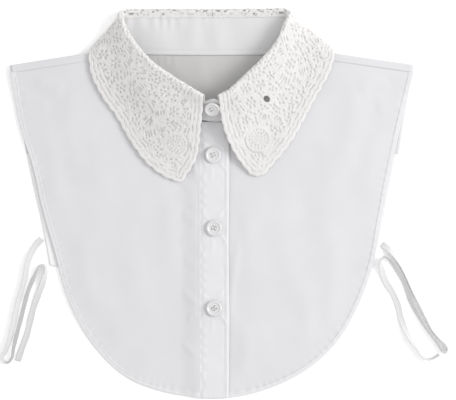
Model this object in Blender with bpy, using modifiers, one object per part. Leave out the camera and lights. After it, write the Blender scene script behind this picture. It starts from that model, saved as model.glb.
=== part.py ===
"""A cotton detachable collar with lace leaves, buttoned and laid flat.

Lengths are in millimetres until points become meshes. The table is z = 0, the
photograph's up is +Y, and the wearer's right is -X, called left here because it
is on the left when the collar is seen from above.
"""

import math

import bpy
import numpy as np
from mathutils import Matrix, Vector

MM = 0.001
NAME = "detachable_lace_collar"

# Walls and the space that touching cloths keep.
CLOTH = 1.0
STAND_WALL = 1.2
BAND_WALL = 1.6
LACE_WALL = 1.4
TAPE_WALL = 0.8
GAP = 0.3
LAYER_STEP = 1.5

# Fold of the lace over the stand: its radius, and the seam's distance below it.
ROLL_RADIUS = 2.1
SEAM_BELOW_ROLL = 6.1

# Fold of the back over the shoulder.
SHOULDER_RADIUS = 1.25
SHOULDER_LAP = 5.0
SHOULDER_BULK_REACH = 30.0

# How far from the lace's edge the back comes down to the table, and how far below
# the back's hem the fronts do.
RISE_START, RISE_END = 16.0, 66.0
DROP_START, DROP_END = 24.0, 66.0

# Closure: a band on the left front laps over the right front.
BAND_LEFT, BAND_RIGHT = -9.6, 13.6
UNDERLAP = -9.2
BAND_EASE = 16.0
BAND_TOP, BAND_BOTTOM = 65.4, -155.6
BUTTON_RADIUS, BUTTON_THICKNESS = 6.35, 2.4
BUTTON_PROFILE = (
    (0.0, 0.0), (4.6, 0.0), (6.0, 0.5), (BUTTON_RADIUS, 1.3), (5.7, BUTTON_THICKNESS),
    (4.4, 2.1), (3.9, 1.4), (0.0, 1.3),
)
HOLE_RADIUS, HOLE_PLACE, HOLE_DEPTH = 0.7, 1.15, 6.0
BUTTON_PLACES = ((0.8, 38.8), (1.6, -19.6), (1.6, -83.6))
STAND_BUTTON_X = 1.3
STAND_BUTTON_SHARE = 0.6
STAND_BUTTON_SHANK = 0.9

# Scalloped edge of the lace, and the eye that is cut through the right leaf: its size,
# its share of the way round from centre back, and of the way from the roll to the edge.
SCALLOP_PITCH, SCALLOP_DEPTH = 9.0, 1.0
SCALLOP_INSET = 0.6
EYE_LENGTH, EYE_WIDTH = 5.8, 4.8
EYE_ALONG, EYE_SHARE = 0.7925, 0.38

TAPE_WIDTH = 5.0

# Stations of the folded collar from centre back to centre front, one table a side.
# neck: seam to the stand. roll: fold line. edge: the lace's outer edge in plan.
# third, two_thirds: height of the leaf a third and two thirds of the way out.
# bow: how far those two places stand off the straight line, towards the front.
# lift: the edge's height over what it lies on; under the back it lies on the table.
STATION_COLUMNS = (
    "neck_x", "neck_y", "neck_z", "roll_x", "roll_y", "roll_z", "edge_x", "edge_y",
    "third", "two_thirds", "bow_third", "bow_two_thirds", "lift",
)
LEFT_STATIONS = (
    (0.0, 119.6, 2.5, 0.0, 155.4, 2.8, 0.0, 108.0, 0.7, 0.7, 0.0, 0.0, 0.0),
    (-30.0, 119.7, 2.5, -31.0, 155.4, 2.8, -36.0, 108.4, 0.7, 0.7, 0.0, 0.0, 0.0),
    (-54.0, 120.2, 2.5, -53.0, 155.3, 2.9, -67.0, 110.8, 0.7, 0.7, 0.0, 0.0, 0.0),
    (-70.0, 121.4, 2.7, -64.6, 155.0, 3.9, -87.0, 117.0, 0.7, 0.7, 0.0, 0.0, 0.0),
    (-77.0, 122.4, 3.2, -69.6, 154.2, 5.8, -94.6, 121.8, 2.0, 0.9, 0.0, 0.0, 0.0),
    (-80.6, 122.6, 4.8, -71.8, 152.0, 8.6, -97.6, 123.4, 5.6, 4.4, 0.0, 0.0, 0.4),
    (-80.4, 118.6, 6.2, -71.2, 148.6, 11.4, -98.2, 117.6, 8.8, 7.2, 0.0, 0.0, 0.8),
    (-77.4, 112.4, 6.6, -69.2, 143.0, 13.6, -97.0, 106.0, 10.8, 8.4, 0.0, 0.0, 0.8),
    (-67.4, 101.2, 6.0, -62.0, 130.0, 15.4, -88.4, 86.6, 12.6, 7.8, 0.0, 0.0, 0.8),
    (-52.0, 89.0, 5.2, -49.0, 114.6, 17.2, -76.4, 69.6, 13.6, 7.6, 0.0, 0.0, 0.6),
    (-35.0, 79.4, 5.0, -33.0, 102.6, 18.6, -63.4, 47.2, 14.6, 7.6, 0.0, 0.0, 1.0),
    (-20.0, 72.6, 5.4, -18.4, 93.6, 19.8, -49.0, 29.4, 14.6, 7.2, 0.0, 0.0, 0.7),
    (-12.6, 69.4, 6.0, -12.0, 89.6, 20.4, -36.0, 20.6, 14.8, 7.4, 1.0, 1.6, 0.5),
    (-3.0, 66.8, 6.6, -6.6, 86.0, 21.0, -24.3, 16.8, 15.2, 8.0, 3.8, 6.4, 0.3),
)
RIGHT_STATIONS = (
    (0.0, 119.6, 2.5, 0.0, 155.4, 2.8, 0.0, 108.0, 0.7, 0.7, 0.0, 0.0, 0.0),
    (24.0, 119.7, 2.5, 24.0, 155.6, 2.8, 32.0, 108.4, 0.7, 0.7, 0.0, 0.0, 0.0),
    (46.0, 120.2, 2.5, 42.0, 155.7, 2.9, 62.0, 110.8, 0.7, 0.7, 0.0, 0.0, 0.0),
    (62.0, 121.4, 2.7, 53.6, 155.7, 3.9, 85.0, 117.0, 0.7, 0.7, 0.0, 0.0, 0.0),
    (69.6, 122.4, 3.2, 58.6, 155.0, 5.8, 94.6, 121.8, 2.0, 0.9, 0.0, 0.0, 0.0),
    (73.6, 122.6, 4.8, 60.6, 152.8, 8.6, 97.6, 123.4, 5.6, 4.4, 0.0, 0.0, 0.4),
    (73.2, 118.6, 6.2, 59.8, 149.2, 11.4, 97.4, 117.0, 8.8, 7.2, 0.0, 0.0, 0.8),
    (70.0, 112.4, 6.6, 57.4, 143.4, 13.6, 93.8, 105.0, 10.8, 8.4, 0.0, 0.0, 0.7),
    (59.6, 101.2, 6.0, 51.0, 128.8, 15.4, 84.4, 87.6, 12.6, 7.8, 0.0, 0.0, 0.4),
    (45.4, 89.0, 5.2, 40.0, 115.6, 17.2, 74.8, 69.8, 13.6, 7.6, 0.0, 0.0, 0.6),
    (30.6, 79.4, 5.0, 27.0, 103.0, 18.6, 64.0, 50.6, 14.6, 7.6, 0.0, 0.0, 0.4),
    (18.0, 73.0, 4.2, 15.6, 92.6, 19.4, 51.4, 34.6, 14.6, 7.2, 0.0, 0.0, 0.5),
    (11.0, 70.6, 3.6, 10.0, 88.8, 19.4, 38.6, 22.0, 14.8, 7.4, 2.6, 2.4, 0.4),
    (4.0, 69.2, 3.2, 5.0, 85.8, 19.6, 30.6, 23.0, 15.2, 8.4, 5.4, 5.0, 0.3),
)
# The stations between which the leaf leaves the table and comes to lie on the front.
RISE_STATIONS = (4, 6)
THIRD_SHARE, TWO_THIRDS_SHARE = 0.36, 0.7
GUIDE_SHARE = 0.25
# The stand is folded flat on itself at one station, where its seam gets more room.
FOLD_STATION, FOLD_REACH, FOLD_SLACK = 5, 0.09, 1.0

# The stand's ends past the lace: x, y, z of the neck seam, then of the finished top.
LEFT_STAND_END = (
    (3.0, 66.4, 6.8, 1.6, 83.2, 18.4),
    (8.6, 66.8, 6.8, 8.0, 81.0, 17.2),
    (12.2, 68.0, 7.4, 11.6, 76.6, 14.2),
)
RIGHT_STAND_END = (
    (-2.0, 69.2, 3.0, -1.0, 83.4, 14.0),
    (-6.6, 69.6, 2.9, -6.2, 81.4, 12.4),
    (-9.6, 70.6, 3.4, -9.2, 78.0, 9.8),
)

# Outer edges of the panels in plan, from the shoulder down to the closure.
LEFT_EDGE = (
    (-161.2, 105.0), (-152.4, 58.0), (-143.0, 28.4), (-136.4, -1.2), (-126.9, -34.8),
    (-114.2, -78.6), (-94.0, -114.8), (-68.4, -139.1), (-34.0, -151.8), (-9.9, -155.4),
)
RIGHT_EDGE = (
    (161.2, 105.0), (149.2, 54.8), (141.2, 16.8), (135.4, -14.8), (127.4, -54.2),
    (115.2, -85.6), (98.9, -112.4), (77.9, -131.6), (50.0, -146.4), (16.3, -155.2),
    (UNDERLAP, -156.0),
)
SHOULDER_LEFT = ((-161.4, 110.4), (-81.4, 122.6))
SHOULDER_RIGHT = ((161.4, 110.8), (74.4, 123.2))
BACK_LEFT_EDGE = ((-161.2, 109.2), (-153.2, 65.2), (-143.5, 16.8), (-135.0, -21.2), (-129.8, -49.6))
BACK_RIGHT_EDGE = ((161.2, 109.6), (153.3, 65.2), (145.4, 14.0), (137.9, -14.0), (133.4, -34.4))
BACK_HEM = ((-129.8, -49.6), (0.0, -60.0), (133.4, -34.4))

# Ties: points along each tape in plan, and the angle in degrees that its width is
# tilted from level, as it lies half turned on its edge.
TIE_LEFT = (
    (-136.0, -28.2, 0), (-139.9, -32.6, 8), (-145.1, -41.8, 35), (-147.8, -50.0, 40),
    (-149.4, -59.6, 40), (-152.0, -69.2, 40), (-154.9, -78.8, 40), (-157.4, -90.0, 40),
    (-159.4, -100.0, 42), (-162.0, -110.0, 46), (-165.4, -118.4, 52), (-167.6, -122.8, 60),
    (-166.6, -126.4, 66), (-163.2, -127.2, 66), (-160.4, -124.4, 62), (-158.6, -116.0, 50),
    (-156.0, -105.0, 42), (-152.9, -93.2, 40), (-149.9, -80.8, 40), (-146.6, -69.2, 40),
    (-142.6, -59.6, 46), (-139.8, -53.4, 62), (-137.2, -49.4, 76), (-134.0, -49.2, 78),
    (-132.6, -52.6, 70), (-133.8, -58.6, 40), (-136.2, -66.4, 15), (-139.4, -74.4, 5),
    (-142.6, -83.6, 0), (-145.0, -93.2, 0), (-147.8, -104.8, 0), (-151.0, -113.6, 0),
    (-153.6, -121.0, 0), (-155.2, -126.0, 0),
)
TIE_RIGHT = (
    (136.2, -32.4, 0), (139.4, -35.0, 12), (143.1, -38.7, 45), (149.4, -46.2, 55),
    (155.5, -57.0, 56), (160.5, -68.5, 58), (165.4, -78.2, 60), (171.5, -90.7, 64),
    (176.9, -101.4, 68), (183.1, -108.5, 70), (187.6, -113.0, 70), (189.0, -116.4, 70),
    (187.4, -119.2, 70), (184.4, -117.8, 70), (180.6, -112.0, 70), (174.9, -104.6, 68),
    (169.2, -96.4, 62), (163.3, -86.4, 50), (158.9, -77.6, 40), (156.4, -69.4, 35),
    (152.6, -60.0, 35), (148.0, -52.8, 40), (143.6, -46.6, 55), (140.4, -43.4, 70),
    (137.6, -42.6, 75), (135.6, -44.2, 72), (135.0, -47.4, 60), (135.6, -52.0, 30),
    (138.6, -61.4, 10), (144.9, -72.1, 0), (148.9, -81.8, 0), (151.5, -92.5, 5),
    (154.6, -100.5, 25), (159.1, -109.4, 55), (164.5, -116.5, 66), (168.9, -122.7, 70),
    (173.4, -124.5, 70), (178.6, -122.7, 70), (181.6, -120.6, 68),
)

# Grid sizes.
SCALLOP_SAMPLES = 3
CURVE_SAMPLES = 60
FRAME_SAMPLES, FRAME_WINDOW = 401, 25
LEAF_SHARES = (0.22, 0.5, 0.8, 1.0)
STAND_STEPS = (2, 2, 2, 3, 3, 3, 3, 2, 2, 2, 2, 2, 1)
STAND_ROWS = 3
FRONT_RAYS, FRONT_RINGS = 20, 12
BACK_SIDE_COLUMNS, BACK_NECK_COLUMNS, BACK_ROWS = 7, 18, 9
BAND_ROWS = 26
BUTTON_STEPS = 16
EYE_SIDES, EYE_PATCH = 12, 0.01
HOLE_SIDES = 6
LEAF_SAMPLES = 200
MERGE_DISTANCE = 0.00001
TAPE_POINTS = 130


def spline(knots, values, at):
    """A smooth curve through values at knots, read at the given places."""
    knots, values = np.asarray(knots, float), np.asarray(values, float)
    at = np.asarray(at, float)
    slopes = np.gradient(values, knots, axis=0)
    i = np.clip(np.searchsorted(knots, at, side="right") - 1, 0, len(knots) - 2)
    span = knots[i + 1] - knots[i]
    u = (at - knots[i]) / span
    if values.ndim > 1:
        u, span = u[..., None], span[..., None]
    start, end = values[i], values[i + 1]
    return (
        start * (2 * u**3 - 3 * u**2 + 1)
        + end * (3 * u**2 - 2 * u**3)
        + slopes[i] * span * (u**3 - 2 * u**2 + u)
        + slopes[i + 1] * span * (u**3 - u**2)
    )


def lengths_along(points):
    steps = np.linalg.norm(np.diff(np.asarray(points, float), axis=0), axis=-1)
    return np.concatenate([[0.0], np.cumsum(steps)])


def smooth_line(points, count):
    """Evenly spaced points on a smooth curve through the given ones."""
    points = np.asarray(points, float)
    knots = lengths_along(points)
    dense = spline(knots, points, np.linspace(0.0, knots[-1], 40 * len(points)))
    return evenly(dense, count)


def evenly(points, count):
    knots = lengths_along(points)
    places = np.linspace(0.0, knots[-1], count)
    return np.stack([np.interp(places, knots, points[:, k]) for k in range(points.shape[1])], -1)


def unit(vectors):
    vectors = np.asarray(vectors, float)
    return vectors / np.linalg.norm(vectors, axis=-1, keepdims=True)


def ease(value):
    """0 below 0, 1 above 1, smooth between."""
    value = np.clip(value, 0.0, 1.0)
    return value * value * (3.0 - 2.0 * value)


def distance_to_line(x, y, line):
    """Distance in plan from points to a polyline."""
    line = np.asarray(line, float)
    place = np.stack([np.asarray(x, float), np.asarray(y, float)], -1)[..., None, :]
    start, step = line[:-1, :2], np.diff(line[:, :2], axis=0)
    share = np.clip(((place - start) * step).sum(-1) / (step * step).sum(-1), 0.0, 1.0)
    return np.linalg.norm(place - start - share[..., None] * step, axis=-1).min(-1)


HEM_CURVE = np.polyfit(*np.asarray(BACK_HEM, float).T, 2)


def back_leaf_edge():
    """The lace's edge where it lies under the back, side to side."""
    left = [(row[6], row[7]) for row in LEFT_STATIONS[:5]]
    right = [(row[6], row[7]) for row in RIGHT_STATIONS[1:5]]
    return np.asarray(left[::-1] + right, float)


BACK_LEAF_EDGE = back_leaf_edge()


def back_height(x, y):
    """Underside of the back: on the table, and lifted where the lace is under it."""
    x, y = np.asarray(x, float), np.asarray(y, float)
    edge_y = np.interp(x, BACK_LEAF_EDGE[:, 0], BACK_LEAF_EDGE[:, 1])
    away = distance_to_line(x, y, BACK_LEAF_EDGE)
    away = np.where((y > edge_y) & (np.abs(x) < BACK_LEAF_EDGE[-1, 0]), 0.0, away)
    lifted = LACE_WALL + GAP
    return lifted * (1.0 - ease((away - RISE_START) / (RISE_END - RISE_START)))


def shoulder_bulk(x, y):
    """Extra height of the front beside the fold at the shoulder."""
    near = np.minimum(
        distance_to_line(x, y, SHOULDER_LEFT), distance_to_line(x, y, SHOULDER_RIGHT)
    )
    bulk = 2.0 * SHOULDER_RADIUS - LAYER_STEP
    return bulk * (1.0 - ease((near - SHOULDER_LAP) / SHOULDER_BULK_REACH))


def front_height(x, y):
    """Underside of a front: over the back, and on the table below the back's hem."""
    x, y = np.asarray(x, float), np.asarray(y, float)
    below_hem = np.polyval(HEM_CURVE, x) - y
    on_back = 1.0 - ease((below_hem - DROP_START) / (DROP_END - DROP_START))
    return back_height(x, y) + LAYER_STEP * on_back + shoulder_bulk(x, y)


def left_front_height(x, y):
    """The left front also rises to the band, which lies over the right front."""
    rise = (LAYER_STEP + GAP) * (1.0 - ease((BAND_LEFT - np.asarray(x, float)) / BAND_EASE))
    return front_height(x, y) + rise


def band_height(x, y):
    return front_height(x, y) + LAYER_STEP


def side_of(table, columns, along, knots):
    table = np.asarray(table, float)
    values = spline(knots, table, along)
    return {name: values[..., k] for k, name in enumerate(columns)}


def station_knots(stations):
    """Shares of the way round, from the mean of the steps at the roll and the edge."""
    table = np.asarray(stations, float)
    steps = 0.5 * np.diff(lengths_along(table[:, 3:5])) + 0.5 * np.diff(lengths_along(table[:, 6:8]))
    total = np.concatenate([[0.0], np.cumsum(steps)])
    return total / total[-1]


def collar_lines(stations, along):
    """The neck seam, roll, two places on the leaf and the edge, at shares of the way round."""
    along = np.asarray(along, float)
    knots = station_knots(stations)
    row = side_of(stations, STATION_COLUMNS, along, knots)
    neck = np.stack([row["neck_x"], row["neck_y"], row["neck_z"]], -1)
    roll = np.stack([row["roll_x"], row["roll_y"], row["roll_z"]], -1)
    ground = front_height(row["edge_x"], row["edge_y"]) + CLOTH + GAP
    rise_start, rise_end = (knots[k] for k in RISE_STATIONS)
    in_front = ease((along - rise_start) / (rise_end - rise_start))
    edge_z = LACE_WALL / 2 + in_front * (ground + row["lift"])
    edge = np.stack([row["edge_x"], row["edge_y"], edge_z], -1)
    chord = edge - roll
    off = unit(np.stack([-chord[..., 1], chord[..., 0], 0.0 * chord[..., 2]], -1))
    towards_front = -np.sign(stations[-1][6])
    places = []
    for share, name in ((THIRD_SHARE, "third"), (TWO_THIRDS_SHARE, "two_thirds")):
        place = roll + share * chord + towards_front * off * row["bow_" + name][..., None]
        place[..., 2] = row[name]
        places.append(place)
    return {"neck": neck, "roll": roll, "third": places[0], "two_thirds": places[1], "edge": edge}


def fold_frame(stations, along):
    """Direction into the fold, and from the stand's side to the leaf's side."""
    fine = np.linspace(0.0, 1.0, FRAME_SAMPLES)
    lines = collar_lines(stations, fine)
    tangent = np.gradient(lines["roll"], axis=0)
    inward = unit(unit(lines["neck"] - lines["roll"]) + unit(lines["third"] - lines["roll"]))
    across = np.sign(stations[-1][6]) * unit(np.cross(tangent, inward))
    inward, across = (unit(read(softened(value), fine, along)) for value in (inward, across))
    across = unit(across - (across * inward).sum(-1)[..., None] * inward)
    return inward, across


def softened(values):
    """Each row averaged with those near it, so that the fold turns gradually."""
    weights = np.hanning(FRAME_WINDOW + 2)[1:-1]
    padded = np.pad(values, ((FRAME_WINDOW // 2, FRAME_WINDOW // 2), (0, 0)), mode="edge")
    return np.stack([
        np.convolve(padded[:, axis], weights / weights.sum(), mode="valid")
        for axis in range(values.shape[1])
    ], -1)


def read(values, knots, places):
    """Values given at knots, read between them."""
    return np.stack([np.interp(places, knots, values[:, k]) for k in range(values.shape[1])], -1)


def seam_points(lines, inward, across):
    return lines["roll"] + SEAM_BELOW_ROLL * inward - ROLL_RADIUS * across


def leaf_section(seam, roll, third, two_thirds, edge, inward, across):
    """One section of the leaf: up from the seam, round the roll and out to the edge."""
    centre = roll + ROLL_RADIUS * inward
    turns = np.radians(np.linspace(-90.0, 90.0, 13))
    arc = centre + ROLL_RADIUS * (np.sin(turns)[:, None] * across - np.cos(turns)[:, None] * inward)
    guide = arc[-1] + GUIDE_SHARE * np.linalg.norm(third - arc[-1]) * inward
    outer = np.stack([arc[-1], guide, third, two_thirds, edge])
    knots = lengths_along(outer)
    return seam, arc, spline(knots, outer, np.linspace(0.0, knots[-1], CURVE_SAMPLES))


def leaf_points(stations, along, shares):
    """Grid of the leaf's middle surface, a row of points for each share of the way round."""
    lines = collar_lines(stations, along)
    inward, across = fold_frame(stations, along)
    seams = seam_points(lines, inward, across)
    grid = []
    for k in range(len(seams)):
        seam, arc, outer = leaf_section(
            seams[k], lines["roll"][k], lines["third"][k], lines["two_thirds"][k],
            lines["edge"][k], inward[k], across[k],
        )
        knots = lengths_along(outer)
        outer = read(outer, knots, np.asarray(shares) * knots[-1])
        grid.append(np.vstack([seam[None], arc[::3], outer]))
    grid = np.asarray(grid)
    grid[..., 2] = np.maximum(grid[..., 2], LACE_WALL / 2)
    return grid


def scalloped(grid):
    """Push the last point of each row out by the scallop's height there."""
    grid = grid.copy()
    edge = grid[:, -1]
    travelled = lengths_along(edge)
    waves = round(travelled[-1] / SCALLOP_PITCH)
    phase = travelled / travelled[-1] * waves
    depth = SCALLOP_DEPTH * (np.abs(np.sin(np.pi * phase)) - SCALLOP_INSET)
    grid[:, -1] = edge + depth[:, None] * unit(edge - grid[:, -2])
    return grid


def material(name, colour, roughness, metallic=0.0):
    made = bpy.data.materials.new(name)
    made.use_nodes = True
    shader = made.node_tree.nodes["Principled BSDF"]
    shader.inputs["Base Color"].default_value = (*colour, 1.0)
    shader.inputs["Roughness"].default_value = roughness
    shader.inputs["Metallic"].default_value = metallic
    return made


def add_object(name, mesh, finish, collection):
    made = bpy.data.objects.new(name, mesh)
    made.data.materials.append(finish)
    collection.objects.link(made)
    return made


def sheet(name, grid, finish, collection, wall, offset, keep=None):
    """An open lofted surface through a grid of points, given its wall by Solidify."""
    grid = np.asarray(grid, float)
    rows, columns = grid.shape[:2]
    faces = []
    for r in range(rows - 1):
        for c in range(columns - 1):
            if keep is None or keep(r, c):
                a = r * columns + c
                faces.append((a, a + 1, a + columns + 1, a + columns))
    used = sorted({corner for face in faces for corner in face})
    place = {corner: k for k, corner in enumerate(used)}
    mesh = bpy.data.meshes.new(name)
    points = grid.reshape(-1, 3)[used] * MM
    mesh.from_pydata(points.tolist(), [], [[place[corner] for corner in face] for face in faces])
    mesh.shade_smooth()
    made = add_object(name, mesh, finish, collection)
    solid = made.modifiers.new("wall", "SOLIDIFY")
    solid.thickness = wall * MM
    solid.offset = offset
    return made


def down_from(shoulder):
    """Direction in plan from a shoulder's fold down the panels."""
    start, end = np.asarray(shoulder, float)
    run = unit(end - start)
    return np.array([run[1], -run[0]]) * np.sign(run[0])


def shoulder_wrap(fold, down, height):
    """Rows over the fold at one shoulder: round the fold and down the front to the seam."""
    middle = height + CLOTH / 2
    rows = []
    for turn in np.radians((36.0, 72.0, 108.0, 144.0, 180.0)):
        inset = SHOULDER_RADIUS * (1.0 - math.sin(turn))
        rows.append((fold + inset * down, middle + SHOULDER_RADIUS * (1.0 - math.cos(turn))))
    lap = SHOULDER_RADIUS + SHOULDER_LAP - CLOTH
    rows.append((fold + lap * down, middle + 2 * SHOULDER_RADIUS))
    return rows


def build_back(finish, collection):
    """The back with its neckline, its hem and a lap over each shoulder."""
    back_left = neck_outline(LEFT_STATIONS, 0, RISE_STATIONS[0])
    back_right = neck_outline(RIGHT_STATIONS, 0, RISE_STATIONS[0])
    neckline = np.vstack([SHOULDER_LEFT[1:], back_left[::-1], back_right[1:], SHOULDER_RIGHT[1:]])
    neckline = evenly(neckline, BACK_NECK_COLUMNS)
    left_fold = evenly(np.asarray(SHOULDER_LEFT, float), BACK_SIDE_COLUMNS)
    right_fold = evenly(np.asarray(SHOULDER_RIGHT, float), BACK_SIDE_COLUMNS)[::-1]
    left_top = left_fold + SHOULDER_RADIUS * down_from(SHOULDER_LEFT)
    right_top = right_fold + SHOULDER_RADIUS * down_from(SHOULDER_RIGHT)
    top = np.vstack([left_top, neckline[1:-1], right_top])
    shares = lengths_along(top)
    shares = shares / shares[-1]
    hem_x = BACK_HEM[0][0] + shares * (BACK_HEM[2][0] - BACK_HEM[0][0])
    hem = np.stack([hem_x, np.polyval(HEM_CURVE, hem_x)], -1)
    left = smooth_line(BACK_LEFT_EDGE, BACK_ROWS)[::-1]
    right = smooth_line(BACK_RIGHT_EDGE, BACK_ROWS)[::-1]
    ups = np.linspace(0.0, 1.0, BACK_ROWS)
    rows = []
    for k, up in enumerate(ups):
        ruled = (1 - up) * hem + up * top
        left_slip = left[k] - ((1 - up) * hem[0] + up * top[0])
        right_slip = right[k] - ((1 - up) * hem[-1] + up * top[-1])
        plan = ruled + (1 - shares)[:, None] * left_slip + shares[:, None] * right_slip
        rows.append(np.column_stack([plan, back_height(plan[:, 0], plan[:, 1]) + CLOTH / 2]))
    wraps = [
        shoulder_wrap(fold, down_from(shoulder), back_height(fold[:, 0], fold[:, 1]))
        for fold, shoulder in ((left_fold, SHOULDER_LEFT), (right_fold, SHOULDER_RIGHT))
    ]
    fillers = len(neckline) - 2
    for k in range(len(wraps[0])):
        parts = []
        for line, height in (wraps[0][k], wraps[1][k]):
            parts.append(np.column_stack([line, height]))
        blank = np.repeat(parts[0][-1:], fillers, axis=0)
        rows.append(np.vstack([parts[0], blank, parts[1]]))
    neck_cells = range(BACK_SIDE_COLUMNS - 1, BACK_SIDE_COLUMNS + fillers)

    def keep(row, column):
        return row < BACK_ROWS - 1 or column not in neck_cells

    return sheet("back_panel", rows, finish, collection, CLOTH, 0.0, keep)


def neck_outline(stations, first, last):
    """The panels' edge along the neck seam between two stations, clear of the stand."""
    knots = station_knots(stations)
    along = np.linspace(knots[first], knots[last], CURVE_SAMPLES)
    lines = collar_lines(stations, along)
    inward, across = fold_frame(stations, along)
    neck = lines["neck"]
    up_stand = unit(seam_points(lines, inward, across) - neck)
    clear = 1.5 * GAP + STAND_WALL / 2 * up_stand[:, 2]
    return neck[:, :2] - unit(up_stand[:, :2]) * clear[:, None]


def build_front(name, stations, edge_points, shoulder, closure_x, height, finish, collection):
    """One front, as rays from the neck seam out to the side and bottom edge."""
    seam = np.asarray(shoulder[1]) + down_from(shoulder) * (SHOULDER_RADIUS + SHOULDER_LAP - CLOTH + GAP)
    inner = neck_outline(stations, RISE_STATIONS[0] + 1, -1)
    side = np.sign(inner[0, 0])
    inner = inner[(inner[:, 1] < seam[1]) & (side * (inner[:, 0] - closure_x) > 0.5)]
    first, last = (side * max(abs(inner[0, 0]), abs(seam[0])), seam[1]), (closure_x, inner[-1, 1])
    inner = evenly(np.vstack([first, inner, last]), FRONT_RAYS)
    outer = smooth_line(edge_points, FRONT_RAYS)
    shares = np.linspace(0.0, 1.0, FRONT_RINGS)
    plan = inner[None] + shares[:, None, None] * (outer - inner)[None]
    grid = np.concatenate([plan, height(plan[..., 0], plan[..., 1])[..., None]], -1)
    if outer[0, 0] < 0:
        grid = grid[::-1]
    return sheet(name, grid, finish, collection, CLOTH, 1.0)


def build_placket(finish, collection):
    ys = np.linspace(BAND_BOTTOM, BAND_TOP, BAND_ROWS)
    xs = np.linspace(BAND_LEFT, BAND_RIGHT, 4)
    plan_x, plan_y = np.meshgrid(xs, ys)
    grid = np.stack([plan_x, plan_y, band_height(plan_x, plan_y)], -1)
    return sheet("placket", grid, finish, collection, BAND_WALL, 1.0)


def stand_lines(stations, ends):
    """Neck seam and top of the stand on one side, centre back to its lapped end."""
    knots = station_knots(stations)
    places = [
        np.linspace(start, end, steps, endpoint=False)
        for start, end, steps in zip(knots[:-1], knots[1:], STAND_STEPS)
    ]
    along = np.concatenate([*places, knots[-1:]])
    lines = collar_lines(stations, along)
    inward, across = fold_frame(stations, along)
    neck, top = lines["neck"], seam_points(lines, inward, across)
    down_stand = unit(neck - top)
    turn = np.linalg.norm(np.cross(down_stand, inward), axis=-1)
    folded = ease(1.0 - np.abs(along - knots[FOLD_STATION]) / FOLD_REACH)
    top = top + (GAP + STAND_WALL * turn + FOLD_SLACK * folded)[:, None] * down_stand
    ends = np.asarray(ends, float)
    return np.vstack([neck, ends[:, :3]]), np.vstack([top, ends[:, 3:]])


def build_stand(finish, collection):
    left_neck, left_top = stand_lines(LEFT_STATIONS, LEFT_STAND_END)
    right_neck, right_top = stand_lines(RIGHT_STATIONS, RIGHT_STAND_END)
    neck = np.vstack([left_neck[::-1], right_neck[1:]])
    top = np.vstack([left_top[::-1], right_top[1:]])
    shares = np.linspace(0.0, 1.0, STAND_ROWS)
    grid = neck[None] + shares[:, None, None] * (top - neck)[None]
    return sheet("collar_stand", grid, finish, collection, STAND_WALL, 0.0)


def build_leaf(name, stations, finish, collection):
    """One lace leaf with its scalloped edge."""
    shares = np.linspace(0.0, 1.0, LEAF_SAMPLES)
    travelled = lengths_along(leaf_points(stations, shares, LEAF_SHARES)[:, -1])
    count = round(travelled[-1] / SCALLOP_PITCH) * SCALLOP_SAMPLES + 1
    along = np.interp(np.linspace(0.0, travelled[-1], count), travelled, shares)
    grid = scalloped(leaf_points(stations, along, LEAF_SHARES))
    side = np.sign(stations[-1][6])
    grid[0, :, 0] = side * GAP / 2
    if side < 0:
        grid = grid[::-1]
    return sheet(name, grid, finish, collection, LACE_WALL, 0.0)


def add_cutter(name, sides, shape, cutters):
    """A hidden prism for a Boolean: a cylinder of unit size, its points moved by a matrix."""
    bpy.ops.mesh.primitive_cylinder_add(vertices=sides, radius=1.0, depth=1.0)
    made = bpy.context.object
    made.name = name
    made.data.transform(shape)
    for other in list(made.users_collection):
        other.objects.unlink(made)
    cutters.objects.link(made)
    made.hide_render = True
    made.display_type = "WIRE"
    return made


def cut_with(made, cutter):
    cut = made.modifiers.new(cutter.name, "BOOLEAN")
    cut.operation = "DIFFERENCE"
    cut.solver = "EXACT"
    cut.object = cutter


def cut_eye(leaf, stations, along, share, cutters):
    """Cut an oval square through a leaf, its length from the roll towards the edge."""
    around, beside = (along - EYE_PATCH, along + EYE_PATCH), (share - EYE_PATCH, share + EYE_PATCH)
    patch = leaf_points(stations, np.array(around), beside)[:, -2:]
    across = unit(patch[:, 1].mean(0) - patch[:, 0].mean(0))
    run = unit(patch[1].mean(0) - patch[0].mean(0))
    run = unit(run - (run @ across) * across)
    sides = (EYE_LENGTH / 2 * across, EYE_WIDTH / 2 * run, 2 * LACE_WALL * np.cross(across, run))
    shape = Matrix.Identity(4)
    for column, vector in enumerate((*sides, patch.reshape(-1, 3).mean(0))):
        for row in range(3):
            shape[row][column] = vector[row] * MM
    cut_with(leaf, add_cutter(leaf.name + "_eye", EYE_SIDES, shape, cutters))


def build_button(name, centre, normal, finish, collection, cutters):
    """A four-hole button, turned from its profile and set square to what it lies on."""
    mesh = bpy.data.meshes.new(name)
    points = [(x * MM, 0.0, z * MM) for x, z in reversed(BUTTON_PROFILE)]
    mesh.from_pydata(points, [(k, k + 1) for k in range(len(points) - 1)], [])
    button = add_object(name, mesh, finish, collection)
    turned = button.modifiers.new("turned", "SCREW")
    turned.axis = "Z"
    turned.steps = turned.render_steps = BUTTON_STEPS
    turned.use_merge_vertices = True
    turned.merge_threshold = MERGE_DISTANCE
    place_square(button, centre, normal)
    size = Matrix.Diagonal((HOLE_RADIUS * MM, HOLE_RADIUS * MM, HOLE_DEPTH * MM, 1.0))
    for k, (x, y) in enumerate(((-1, -1), (1, -1), (1, 1), (-1, 1))):
        shift = Matrix.Translation((x * HOLE_PLACE * MM, y * HOLE_PLACE * MM, 0.0))
        hole = add_cutter(f"{name}_hole_{k + 1}", HOLE_SIDES, shift @ size, cutters)
        place_square(hole, centre, normal)
        cut_with(button, hole)
    return button


def place_square(made, centre, normal):
    made.location = Vector([value * MM for value in centre])
    made.rotation_mode = "QUATERNION"
    made.rotation_quaternion = Vector((0.0, 0.0, 1.0)).rotation_difference(Vector(normal))


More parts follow.
